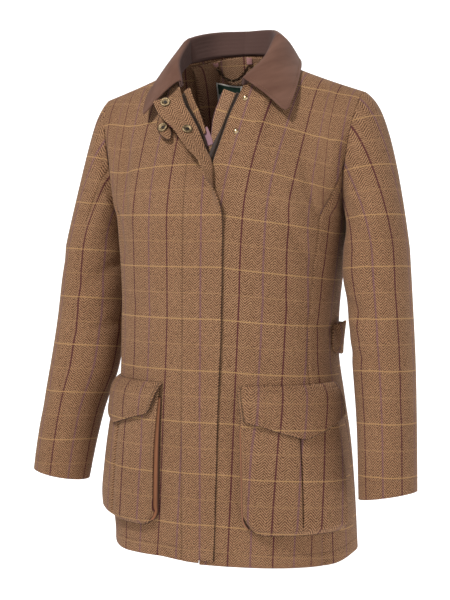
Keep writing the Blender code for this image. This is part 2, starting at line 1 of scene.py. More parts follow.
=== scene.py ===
"""A tweed field coat, filled out as worn, dressed over its CAD frame. Metres, +Z up, the front faces -Y."""

import math

import bpy
import numpy as np
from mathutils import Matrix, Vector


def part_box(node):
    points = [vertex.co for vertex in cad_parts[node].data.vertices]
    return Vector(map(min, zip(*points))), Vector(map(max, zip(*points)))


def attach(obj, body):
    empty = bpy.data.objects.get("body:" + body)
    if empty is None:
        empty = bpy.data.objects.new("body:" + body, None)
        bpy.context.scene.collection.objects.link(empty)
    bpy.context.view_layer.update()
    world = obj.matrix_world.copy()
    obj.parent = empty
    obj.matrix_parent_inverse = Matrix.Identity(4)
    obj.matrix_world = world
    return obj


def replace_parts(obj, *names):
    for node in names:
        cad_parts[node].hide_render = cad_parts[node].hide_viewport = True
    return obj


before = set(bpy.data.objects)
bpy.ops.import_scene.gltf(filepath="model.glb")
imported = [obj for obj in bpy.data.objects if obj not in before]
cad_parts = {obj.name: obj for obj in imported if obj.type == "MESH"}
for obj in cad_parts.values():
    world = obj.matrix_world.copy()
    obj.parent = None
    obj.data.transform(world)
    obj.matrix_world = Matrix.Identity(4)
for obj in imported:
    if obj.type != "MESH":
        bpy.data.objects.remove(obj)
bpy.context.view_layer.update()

# Studio: a pale sweep that runs from a floor into a backdrop, a dim white surround, a key from the wearer's
# upper right, a wide fill and a rim lamp behind. The camera stands a little to the wearer's left.
AZIMUTH = math.radians(21.3)
AWAY = 2.447
EYE_HEIGHT = -0.262
LOOK_DOWN = math.radians(3.145)
SIDE_STEP = 0.0136
scene = bpy.context.scene
camera_data = bpy.data.cameras.new("camera")
camera_data.sensor_fit = "VERTICAL"
camera_data.sensor_height = 36
camera_data.lens = 87.36
camera = bpy.data.objects.new("camera", camera_data)
camera.location = (
    AWAY * math.sin(AZIMUTH) - SIDE_STEP * math.cos(AZIMUTH),
    -AWAY * math.cos(AZIMUTH) - SIDE_STEP * math.sin(AZIMUTH),
    EYE_HEIGHT,
)
camera.rotation_euler = (math.pi / 2 - LOOK_DOWN, 0, AZIMUTH)
scene.collection.objects.link(camera)
scene.camera = camera
scene.view_settings.view_transform = "Standard"

world = bpy.data.worlds.new("surround")
world.use_nodes = True
world.node_tree.nodes["Background"].inputs["Color"].default_value = (1, 1, 1, 1)
world.node_tree.nodes["Background"].inputs["Strength"].default_value = 0.15
scene.world = world
for lamp_name, place, size, watts in (
    ("key", (-0.85, -2.1, 2.4), 0.55, 106),
    ("fill", (2.4, -1.6, 0.6), 1.8, 21),
    ("rim", (0.6, 2.4, 1.4), 1.6, 14),
):
    lamp_data = bpy.data.lights.new(lamp_name, "AREA")
    lamp_data.size = size
    lamp_data.energy = watts
    lamp = bpy.data.objects.new(lamp_name, lamp_data)
    lamp.location = place
    aim = np.array((0, 0, -0.4)) - np.array(place)
    lamp.rotation_euler = (
        math.acos(-aim[2] / np.linalg.norm(aim)), 0, math.atan2(aim[1], aim[0]) - math.pi / 2)
    scene.collection.objects.link(lamp)

turn = np.linspace(0, math.pi / 2, 13)
sweep = [(-6.0, -1.0), (1.4, -1.0)]
sweep += [(1.4 + 1.6 * math.sin(t), -1.0 + 1.6 * (1 - math.cos(t))) for t in turn[1:]]
sweep.append((3.0, 7.0))
backdrop_mesh = bpy.data.meshes.new("backdrop")
backdrop_mesh.from_pydata(
    [(x, y, z) for y, z in sweep for x in (-8, 8)], [],
    [(2 * k, 2 * k + 1, 2 * k + 3, 2 * k + 2) for k in range(len(sweep) - 1)])
backdrop_mesh.shade_smooth()
backdrop = bpy.data.objects.new("backdrop", backdrop_mesh)
scene.collection.objects.link(backdrop)
pale = bpy.data.materials.new("pale_paper")
pale.use_nodes = True
for socket, setting in (
    ("Base Color", (0.95, 0.95, 0.95, 1)), ("Roughness", 0.9),
    ("Emission Color", (1, 1, 1, 1)), ("Emission Strength", 0.5),
):
    pale.node_tree.nodes["Principled BSDF"].inputs[socket].default_value = setting
backdrop_mesh.materials.append(pale)


# Tweed: herringbone wool in tan over dark brown, with a burgundy and a mauve stripe by turns in the warp and
# an ochre line in the weft. It is made from the cloth's own coordinates in metres, with a stripe at u = 0
# and a line at v = 0.
class Value:
    """A number in a shader. Arithmetic on it adds Math nodes."""

    def __init__(self, finish, socket):
        self.finish = finish
        self.socket = socket

    def __add__(self, other):
        return self.finish.math("ADD", self, other)

    def __sub__(self, other):
        return self.finish.math("SUBTRACT", self, other)

    def __rsub__(self, other):
        return self.finish.math("SUBTRACT", other, self)

    def __mul__(self, other):
        return self.finish.math("MULTIPLY", self, other)

    def __truediv__(self, other):
        return self.finish.math("DIVIDE", self, other)

    __radd__ = __add__
    __rmul__ = __mul__

    def fold(self, half):
        """Distance to the nearest whole number of double halves."""
        return self.finish.math("PINGPONG", self, half)

    def sine(self):
        return self.finish.math("SINE", self)

    def step(self, low, high):
        """0 below low and 1 above high, with a soft change between."""
        return self.finish.node(
            "ShaderNodeMapRange", {"interpolation_type": "SMOOTHSTEP"},
            {"Value": self, "From Min": low, "From Max": high})


class Finish:
    """One material, with the shader that its nodes feed."""

    def __init__(self, name, roughness=0.9, sheen=0.0, metallic=0.0):
        self.material = bpy.data.materials.new(name)
        self.material.use_nodes = True
        self.tree = self.material.node_tree
        self.shader = self.tree.nodes["Principled BSDF"]
        self.shader.inputs["Roughness"].default_value = roughness
        self.shader.inputs["Metallic"].default_value = metallic
        self.shader.inputs["Sheen Weight"].default_value = sheen
        self.shader.inputs["Sheen Roughness"].default_value = 0.5
        self.shader.inputs["Specular IOR Level"].default_value = 0.25 if metallic < 0.5 else 0.5

    def put(self, slot, item):
        if isinstance(item, Value):
            self.tree.links.new(item.socket, slot)
        elif isinstance(item, (tuple, list)) and len(item) == 3 and slot.type == "RGBA":
            slot.default_value = (*item, 1)
        else:
            slot.default_value = item

    def node(self, kind, settings=(), sockets=(), out=0):
        made = self.tree.nodes.new(kind)
        for name, setting in dict(settings).items():
            setattr(made, name, setting)
        for name, item in dict(sockets).items():
            self.put(made.inputs[name], item)
        return Value(self, made.outputs[out])

    def math(self, operation, *items):
        return self.node("ShaderNodeMath", {"operation": operation}, dict(enumerate(items)))

    def mix(self, share, first, second, blend="MIX"):
        return self.node(
            "ShaderNodeMix", {"data_type": "RGBA", "blend_type": blend},
            {"Factor": share, 6: first, 7: second}, out=2)

    def cloth_place(self):
        """The cloth's own coordinates, as one vector and as two numbers."""
        place = self.node("ShaderNodeUVMap", {"uv_map": "cloth"})
        return place, *(self.node("ShaderNodeSeparateXYZ", (), {0: place}, out=k) for k in (0, 1))

    def noise(self, place, scale, detail=2.0):
        return self.node("ShaderNodeTexNoise", (), {"Vector": place, "Scale": scale, "Detail": detail})

    def end(self, colour, bump=None, strength=0.3, distance=0.001, roughness=None):
        self.put(self.shader.inputs["Base Color"], colour)
        if roughness is not None:
            self.put(self.shader.inputs["Roughness"], roughness)
        if bump is not None:
            raised = self.node(
                "ShaderNodeBump", (), {"Height": bump, "Strength": strength, "Distance": distance})
            self.put(self.shader.inputs["Normal"], raised)
        return self.material


COLUMN = 0.00925
STRIPE = 8 * COLUMN
LINE = 0.0825
TWILL = 0.0043


def tweed_finish(name, light, dark, lines=1.0):
    cloth = Finish(name, roughness=0.95, sheen=0.03)
    place, u, v = cloth.cloth_place()
    yarn = cloth.noise(place, 420, 3)
    wander = cloth.noise(place, 55, 2)
    fleck = cloth.noise(place, 900, 1)
    patch = cloth.noise(place, 9, 2)
    slant = u.fold(COLUMN)
    phase = (v + slant * 1.05) / TWILL + (wander - 0.5) * 0.6 + (yarn - 0.5) * 0.9
    wave = (phase * (2 * math.pi)).sine()
    stroke = (wave * 0.5 + 0.5 + (yarn - 0.5) * 1.1).step(0.12, 0.88)
    ground = cloth.mix(stroke, dark, light)
    ground = cloth.mix(fleck.step(0.56, 0.70) * 0.45, ground, (0.56, 0.36, 0.20))
    ground = cloth.mix(fleck.step(0.46, 0.32) * 0.50, ground, (0.07, 0.026, 0.016))
    gap = u.fold(STRIPE / 2)
    burgundy = 1 - gap.step(0.0008, 0.0018)
    mauve = 1 - (STRIPE / 2 - gap).step(0.0009, 0.0022)
    row = v.fold(LINE / 2)
    ochre = 1 - row.step(0.0005, 0.0014)
    faint = 1 - (LINE / 2 - row).step(0.0006, 0.0016)
    ground = cloth.mix(mauve * (0.30 + 0.42 * stroke) * lines, ground, (0.17, 0.075, 0.105))
    ground = cloth.mix(burgundy * (0.66 + 0.30 * stroke) * lines, ground, (0.075, 0.012, 0.020))
    ground = cloth.mix(faint * (0.24 - 0.15 * stroke) * lines, ground, (0.46, 0.27, 0.12))
    ground = cloth.mix(ochre * (0.70 - 0.40 * stroke) * lines, ground, (0.50, 0.30, 0.12))
    colour = cloth.mix(patch.step(0.3, 0.7) * 0.18, ground, (0.60, 0.52, 0.45), "MULTIPLY")
    return cloth.end(colour, stroke * 0.6 + yarn * 0.8, strength=0.45, distance=0.0009)


TAN, BROWN = (0.370, 0.203, 0.107), (0.074, 0.027, 0.0105)
tweed = tweed_finish("tweed", TAN, BROWN)
# A second copy of the tweed in paler, flatter colours: painted light, set for the shaded back neck facing
# and zip guard.
relit_tweed = tweed_finish("tweed_with_painted_light", (0.380, 0.220, 0.125), (0.120, 0.052, 0.026))
plain_tweed = tweed_finish("plain_tweed", TAN, BROWN, 0.0)

# Lining: mauve satin with a fine diagonal grain, a little gloss, and slack ripples where it is loose.
# It lines the body and the sleeves, and shows in the neck.
satin = Finish("lining_satin", roughness=0.42, sheen=0.1)
place, u, v = satin.cloth_place()
grain = ((u + v) * 5200.0).sine() * 0.5 + satin.noise(place, 26, 2)
lining_satin = satin.end(
    satin.mix(satin.noise(place, 12, 2).step(0.3, 0.7), (0.235, 0.115, 0.135), (0.335, 0.175, 0.200)),
    grain, strength=0.25, distance=0.001)

# Body: two fronts, two side fronts and two back halves, cut to a waist and sewn along shaping seams. Each is
# a thin shell on a section that runs from hem to shoulder, with the soft folds that the cloth falls into.
CLOTH = 0.0024
HEM_Z = -0.806
UNDERARM_Z = -0.255
SQUARE = 0.05
NECK_SHARE = 0.30
CREASE = 0.008
OVERLAP = 0.0032
# Body sections: height, half width, depth in front of the side line, depth behind it
TORSO = (
    (-0.806, 0.214, 0.152, 0.138),
    (-0.700, 0.208, 0.151, 0.136),
    (-0.620, 0.201, 0.151, 0.129),
    (-0.550, 0.191, 0.151, 0.117),
    (-0.480, 0.182, 0.149, 0.102),
    (-0.410, 0.183, 0.148, 0.099),
    (-0.340, 0.190, 0.147, 0.106),
    (-0.255, 0.199, 0.144, 0.118),
)
# Front edges of the open neck: height, edge of the wearer's right front, edge of the left front
EDGES = (
    (-0.255, 0.000, 0.001),
    (-0.200, 0.000, 0.008),
    (-0.165, 0.000, 0.015),
    (-0.141, -0.0050, 0.021),
    (-0.119, -0.0165, 0.026),
    (-0.097, -0.0315, 0.031),
    (-0.075, -0.0480, 0.038),
    (-0.047, -0.0620, 0.048),
)
# Half the neck seam from the break of the collar to the shoulder, and from centre back: share, x, y, z
NECK_FRONT = ((0.0, 0.057, -0.081, -0.047), (0.5, 0.078, -0.047, -0.024), (1.0, 0.080, 0.0, 0.0))
NECK_BACK = ((0.0, 0.0, 0.058, 0.016), (0.5, 0.048, 0.045, 0.012), (1.0, 0.080, 0.0, 0.0))
SHOULDER_TIP = (0.2265, 0.005, -0.055)
# Soft folds: distance from the centre line, height, length, half width, lean in degrees, depth out
FRONT_FOLDS = {
    1: (
        (0.058, -0.640, 0.300, 0.016, -3, -0.0035),
        (0.088, -0.560, 0.200, 0.014, -6, 0.0020),
        (0.165, -0.300, 0.140, 0.013, -38, -0.0040),
        (0.150, -0.240, 0.110, 0.012, -30, 0.0030),
        (0.185, -0.215, 0.110, 0.010, -24, -0.0042),
        (0.120, -0.395, 0.120, 0.013, -72, -0.0022),
        (0.190, -0.430, 0.100, 0.010, -78, -0.0028),
        (0.060, -0.155, 0.120, 0.014, 14, 0.0016),
    ),
    -1: (
        (0.170, -0.185, 0.150, 0.013, 12, -0.0052),
        (0.145, -0.235, 0.130, 0.013, 20, 0.0026),
        (0.185, -0.285, 0.120, 0.011, 30, -0.0040),
        (0.070, -0.230, 0.150, 0.016, 18, 0.0018),
        (0.115, -0.405, 0.110, 0.012, 74, -0.0022),
        (0.080, -0.700, 0.220, 0.017, 5, -0.0030),
        (0.020, -0.640, 0.280, 0.014, 2, 0.0012),
    ),
}
BACK_FOLDS = {
    1: (
        (0.060, -0.470, 0.130, 0.012, -70, -0.0034),
        (0.095, -0.435, 0.110, 0.011, -76, -0.0026),
        (0.075, -0.660, 0.280, 0.018, 4, -0.0045),
        (0.165, -0.620, 0.240, 0.016, -5, 0.0034),
        (0.155, -0.200, 0.200, 0.016, -16, -0.0042),
        (0.040, -0.120, 0.060, 0.016, -80, -0.0020),
    ),
    -1: (
        (0.050, -0.455, 0.110, 0.012, 74, -0.0030),
        (0.105, -0.485, 0.140, 0.012, 68, -0.0034),
        (0.110, -0.680, 0.250, 0.018, -3, -0.0042),
        (0.185, -0.640, 0.200, 0.015, 6, 0.0030),
        (0.160, -0.215, 0.170, 0.015, 19, -0.0040),
    ),
}


def hermite(start, end, leave, arrive, t):
    """Cubic from start to end with the two tangents given."""
    return (
        start * (2 * t**3 - 3 * t**2 + 1)
        + leave * (t**3 - 2 * t**2 + t)
        + end * (3 * t**2 - 2 * t**3)
        + arrive * (t**3 - t**2)
    )


def through(rows, at):
    """Smooth values of a table at places along its first column."""
    data = np.array(rows, float)
    along = data[:, 0]
    values = data[:, 1:]
    slopes = np.gradient(values, along, axis=0)
    at = np.clip(np.asarray(at, float), along[0], along[-1])
    k = np.clip(np.searchsorted(along, at) - 1, 0, len(along) - 2)
    span = (along[k + 1] - along[k])[..., None]
    t = (at - along[k])[..., None] / span
    return hermite(values[k], values[k + 1], slopes[k] * span, slopes[k + 1] * span, t)


def ease(low, high, at):
    t = np.clip((at - low) / (high - low), 0, 1)
    return t * t * (3 - 2 * t)


def bell(off, half):
    return np.exp(-((off / half) ** 2))


def stack(*columns):
    return np.stack(np.broadcast_arrays(*columns), axis=-1).astype(float)


def unit(vectors):
    return vectors / np.linalg.norm(vectors, axis=-1, keepdims=True)


def run_along(points, axis=0):
    """Length along a path or the rows or columns of a grid, from its start."""
    steps = np.linalg.norm(np.diff(points, axis=axis), axis=-1)
    return np.concatenate([0 * steps.take([0], axis), np.cumsum(steps, axis=axis)], axis=axis)


def folds(rows, across_cloth, up):
    """Height of soft troughs and ridges laid on a cloth."""
    total = 0 * up
    for middle, height, length, wide, lean, deep in rows:
        c, s = math.cos(math.radians(lean)), math.sin(math.radians(lean))
        along = (up - height) * c + (across_cloth - middle) * s
        off = (across_cloth - middle) * c - (up - height) * s
        bend = wide * 0.5 * (along / length) ** 2
        total = total + deep * np.exp(-(((off - bend) / wide) ** 2) - (2 * along / length) ** 4)
    return total


def ring(z, share, back):
    """Point of the body section at height z, share 0 on the centre line to 1 at the side."""
    half_width, fore, aft = np.moveaxis(through(TORSO, z), -1, 0)
    angle = share * math.pi / 2
    swell = 1 + SQUARE * np.sin(2 * angle) ** 2
    deep = np.where(back, aft, -fore)
    return stack(half_width * np.sin(angle) * swell, deep * np.cos(angle) * swell, z)


def body(side, back, share, level, creased=True):
    """Outer cloth surface. Level 0 is the hem, 1 the underarm, 2 the neck and shoulder seam."""
    share, level = np.broadcast_arrays(np.asarray(share, float), np.asarray(level, float))
    low = np.clip(level, 0, 1)
    point = ring(HEM_Z + (UNDERARM_Z - HEM_Z) * low, share, back)
    t = np.clip(level - 1, 0, 1)[..., None]
    start = ring(np.full(share.shape, UNDERARM_Z), share, back)
    rise = (start - ring(np.full(share.shape, UNDERARM_Z - 0.02), share, back)) / 0.02
    neck = through(NECK_BACK if back else NECK_FRONT, share / NECK_SHARE)
    along = np.clip((share - NECK_SHARE) / (1 - NECK_SHARE), 0, 1)[..., None]
    shoulder = np.array(NECK_FRONT[-1][1:]) * (1 - along) + np.array(SHOULDER_TIP) * along
    shoulder[..., 2] -= 0.002 * np.sin(math.pi * along[..., 0])
    end = np.where((share < NECK_SHARE)[..., None], neck, shoulder)
    turn = -1.0 if back else 1.0
    scoop = ease(0.50, 1.0, share)[..., None]
    leave = rise * 0.20 * (1 - scoop) + scoop * np.array((-0.02, -0.25 * turn, 0.02))
    to_break = np.array((0.10, 0.06, 0.17))
    tuck = np.array((-0.20, 0, 0)) * ease(0.0, 0.11, share)[..., None]
    over = np.array((-0.06, 0, 0)) * ease(0.42, NECK_SHARE, share)[..., None]
    to_neck = np.array((0.0, -0.02, 0.16)) if back else to_break + tuck
    roll = ease(0.0, NECK_SHARE, share)[..., None]
    arrive = to_neck * (1 - roll) + roll * (np.array((0.0, 0.17 * turn, 0.0)) + (0 if back else over))
    arrive = arrive * (1 - scoop) + scoop * np.array((0.0, 0.20 * turn, 0.0))
    point = np.where(t > 0, hermite(start, end, leave, arrive, t), point)
    if not back:
        centre = hermite(
            np.array((0.0, -TORSO[-1][2], UNDERARM_Z)), np.array(NECK_FRONT[0][1:]),
            np.array((0.0, 0.0, 0.20)), to_break, t)
        edge = through(EDGES, centre[..., 2])[..., 1 if side > 0 else 0] * side
        point[..., 0] += (1 - share) ** (4 if side > 0 else 9) * (edge - centre[..., 0]) * (level > 1)
    near_hem = ease(0.16, 0.0, level)
    flank = ease(0.42, 0.75, share) * (side < 0)
    hang = 0 if back else 0.007 * ease(1.0, 0.7, share) if side > 0 else 0.004 * ease(0.22, 0.0, share)
    waist = bell(point[..., 2] + 0.46, 0.08)
    point[..., 0] += (0.008 * waist - 0.012 * near_hem) * flank
    point[..., 2] += 0.011 * ease(0.30, 0.0, level) * flank - near_hem * hang
    if creased:
        angle = share * math.pi / 2
        away = stack(np.sin(angle) * 0.15, np.cos(angle) * 0.20 * (1 if back else -1), 0 * angle)
        quiet = ease(0.0, 0.05, share) * ease(1.0, 0.93, share) * ease(2.0, 1.86, level)
        table = BACK_FOLDS if back else FRONT_FOLDS
        raised = folds(table[side], arc_at(point[..., 0]), point[..., 2]) * quiet
        drawn_in = bell(1 - share, 0.06) * ease(1.0, 1.1, level) * ease(1.75, 1.45, level)
        point = point + unit(away) * raised[..., None]
        point[..., 1] += (0 if back else CREASE) * drawn_in
    return point * np.array((side, 1.0, 1.0))


def arc_at(x):
    """Length round the waist from the centre line to a distance x from it, straight on past the side."""
    line = ring(np.full(400, -0.34), np.linspace(0, 0.86, 400), False)
    x = np.abs(x)
    return np.interp(x, line[:, 0], run_along(line)) + np.maximum(x - line[-1, 0], 0) * 1.6


def body_out(side, back, share, level):
    """Unit normal out of the body's cloth, found by small steps along it."""
    share, level = np.broadcast_arrays(np.asarray(share, float), np.asarray(level, float))
    over = np.where(share > 0.5, -1e-3, 1e-3)
    up = np.where(level > 1.5, -1e-3, 1e-3)
    at = body(side, back, share, level)
    along = (body(side, back, share + over, level) - at) / over[..., None]
    rise = (body(side, back, share, level + up) - at) / up[..., None]
    out = unit(np.cross(along, rise) * side * (-1.0 if back else 1.0))
    out[..., 0] *= ease(0.0, 0.06, share)
    return unit(out)


def graded(count, edge=0.006):
    """Places from 0 to 1, with closer ones beside the ends so that an edge turns sharply."""
    return np.concatenate([[0, edge / 3, edge], np.linspace(0, 1, count)[1:-1], [1 - edge, 1 - edge / 3, 1]])


def placed(name, points, faces, finishes):
    """A smooth mesh that rides on the coat, with its finishes."""
    mesh = bpy.data.meshes.new(name)
    mesh.from_pydata(np.asarray(points).tolist(), [], faces)
    for finish in finishes:
        mesh.materials.append(finish)
    mesh.shade_smooth()
    made = bpy.data.objects.new(name, mesh)
    scene.collection.objects.link(made)
    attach(made, "root")
    return made


def cloth_mesh(name, slot, outer, inner, place, finishes, roll=0.0, inside=None):
    """One cloth piece: outer and inner grids of points joined round the rim, with the cloth's coordinates.
    Roll rounds the free rim. Inside says which faces of the inner side take the second finish."""
    rows, columns = outer.shape[:2]
    count = rows * columns
    index = np.arange(count).reshape(rows, columns)
    rim = np.concatenate([index[0, :-1], index[:-1, -1], index[-1, :0:-1], index[:0:-1, 0]])
    step_in = index.copy()
    step_in[0], step_in[-1] = index[1], index[-2]
    step_in[:, 0] = np.where(step_in[:, 0] == index[:, 0], index[:, 1], step_in[:, 0])
    step_in[:, -1] = np.where(step_in[:, -1] == index[:, -1], index[:, -2], step_in[:, -1])
    above, below = outer.reshape(-1, 3), inner.reshape(-1, 3)
    thick = np.linalg.norm(above[rim] - below[rim], axis=1, keepdims=True)
    push = above[rim] - above[step_in.reshape(-1)[rim]]
    push /= np.maximum(np.linalg.norm(push, axis=1, keepdims=True), 1e-9)
    middle = (above[rim] + below[rim]) / 2 + push * thick * roll
    quads = np.stack([index[:-1, :-1], index[:-1, 1:], index[1:, 1:], index[1:, :-1]], -1).reshape(-1, 4)
    bead = np.arange(len(rim)) + 2 * count
    after = np.roll(np.arange(len(rim)), -1)
    upper = np.stack([rim[after], rim, bead, bead[after]], axis=-1)
    lower = np.stack([bead[after], bead, rim + count, rim[after] + count], axis=-1)
    faces = np.concatenate([quads, quads[:, ::-1] + count, upper, lower])
    if np.dot(np.cross(outer[0, 1] - above[0], outer[1, 0] - above[0]), above[0] - below[0]) < 0:
        faces = faces[:, ::-1]
    made = placed(name, np.concatenate([above, below, middle]), faces.tolist(), finishes)
    flat = place.reshape(-1, 2)
    layer = made.data.uv_layers.new(name="cloth")
    corners = np.concatenate([flat, flat, flat[rim]])[faces.reshape(-1)]
    layer.data.foreach_set("uv", corners.astype(np.float32).reshape(-1))
    if len(finishes) > 1:
        slots = np.zeros(len(faces), np.int32)
        slots[len(quads):2 * len(quads)] = 1 if inside is None else inside.reshape(-1)
        made.data.polygons.foreach_set("material_index", slots)
    return made


def area_of(grid):
    """Area of a grid of points, in square metres."""
    across_cloth = grid[:-1, 1:] - grid[:-1, :-1]
    up = grid[1:, :-1] - grid[:-1, :-1]
    return float(np.linalg.norm(np.cross(across_cloth, up), axis=-1).sum())


def cut_from(made, grid, wide, long, *nodes, held="stretched"):
    """Hides the model's parts that the piece stands for, and works out the smaller of its area and that of
    the rectangle of cloth that it was cut from.
    """
    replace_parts(made, *nodes)
    min(area_of(grid), wide * long)


def princess(level):
    """Share of the half front at which the shaping seam runs, by level."""
    return 0.64 + 0.02 * ease(0.5, 1.0, level) + 0.3385 * ease(0.98, 1.44, level)


def height_on(points, level):
    """Height on the cloth: the true height below the underarm, and the length up the cloth above it."""
    steps = np.linalg.norm(np.diff(points, axis=0), axis=-1)
    steps = np.where(level[1:] > 1.0001, steps, np.abs(np.diff(points[..., 2], axis=0)))
    run = np.concatenate([0 * steps[:1], np.cumsum(steps, axis=0)])
    return points[:1, :, 2] + run


# Where the first burgundy stripe of each front lies: height, x on the right front, x on the left front
FIRST_STRIPE = (
    (-0.800, 0.0765, 0.048),
    (-0.664, 0.0690, 0.053),
    (-0.420, 0.0590, 0.063),
    (-0.230, 0.0590, 0.071),
    (-0.080, 0.0500, 0.092),
    (0.020, 0.0480, 0.105),
)
# How fast the ochre lines of the left front fall towards the side, by height
FALL = (
    (-0.80, 0.055), (-0.67, 0.055), (-0.50, 0.062), (-0.42, 0.085), (-0.34, 0.115), (-0.25, 0.145),
    (0.02, 0.145))
FIRST_LINE = -0.254
PLACKET_EDGE = 0.029
PLACKET_MAUVE = 0.002


def fall(side, points):
    return through(FALL, points[..., 2])[..., 0] * np.maximum(arc_at(points[..., 0]) - 0.03, 0) * (side > 0)


def front_place(side, points, up):
    """Coordinates of a front's cloth, with the stripes where they fall in the coat."""
    table = [(row[0], row[2] if side > 0 else row[1]) for row in FIRST_STRIPE]
    stripe = through(table, points[..., 2])[..., 0]
    return stack(arc_at(points[..., 0]) - arc_at(stripe), up + fall(side, points) - FIRST_LINE)


def mottled(name, dark, light, scale, roughness, metallic=0.0, sheen=0.0, sharp=False, bump=0.0):
    """A finish that wanders between two colours through the piece's own space."""
    finish = Finish(name, roughness, sheen, metallic)
    speck = finish.noise(finish.node("ShaderNodeTexCoord", out=3), scale)
    colour = finish.mix(speck.step(0.4, 0.6) if sharp else speck, dark, light)
    return finish.end(colour, speck if bump else None, bump, 0.0003)


STITCH = 0.0042
HEM_SEWN = 0.036
brown_thread = mottled("brown_thread", (0.115, 0.055, 0.030), (0.230, 0.125, 0.072), 1500, 0.7, bump=0.3)


def on_path(where, run, path):
    """Points of a path at lengths along it."""
    return stack(*(np.interp(where, run, path[:, k]) for k in range(3)))


def bands(rings, sides):
    """Quads between the rings of a tube."""
    k, j = np.meshgrid(np.arange(rings - 1), np.arange(sides), indexing="ij")
    this, after = k * sides + j, k * sides + (j + 1) % sides
    return np.stack([this, after, after + sides, this + sides], axis=-1).reshape(-1, 4)


def sewn(name, lines):
    """Rows of stitches as one mesh. Each line is a path and the directions out of the cloth along it."""
    points = []
    for path, out in lines:
        run = run_along(path)
        middle = (np.arange(int(run[-1] / STITCH)) + 0.5) * STITCH
        at = middle[:, None] + np.array((-0.0016, -0.0012, 0.0012, 0.0016))
        centre = on_path(at, run, path)
        up = unit(on_path(at, run, out))
        flat = np.cross(unit(centre[:, -1:] - centre[:, :1]), up)
        radius = np.array((0.0001, 0.00036, 0.00036, 0.0001))[:, None, None]
        lift = np.array((-0.0002, 0.0002, 0.0002, -0.0002))[:, None]
        spin = (np.arange(6) * math.pi / 3)[:, None]
        rings = flat[:, :, None] * np.cos(spin) + up[:, :, None] * np.sin(spin)
        points.append(((centre + up * lift)[:, :, None] + radius * rings).reshape(-1, 3))
    points = np.concatenate(points)
    faces = (bands(4, 6)[None] + 24 * np.arange(len(points) // 24)[:, None, None]).reshape(-1, 4)
    placed(name, points, faces.tolist(), (brown_thread,))


def overlap(side, share):
    """How far the right front stands off over the left one."""
    return OVERLAP * (1 - ease(0.05, 0.24, share)) * (side < 0)


def panel(name, outer, out, level, place, dent, inside=None):
    """A body piece of lined tweed, dented at its seams and along the stitches above the hem."""
    dent = dent + 0.0006 * bell(level - HEM_SEWN, 0.0018)
    finishes = (tweed, lining_satin)
    return cloth_mesh(
        name, "tweed", outer - out * dent[..., None], outer - out * CLOTH, place, finishes, 0.25, inside)


LEVELS = np.concatenate([
    [0, 0.0012, 0.0036], np.linspace(0, 0.030, 4)[1:], np.linspace(0.033, 0.039, 7),
    np.linspace(0.044, 1, 92), np.linspace(1, 2, 76)[1:-1], [1.9988]])
SIDES = (("right", -1), ("left", 1))
GAP = 0.0010
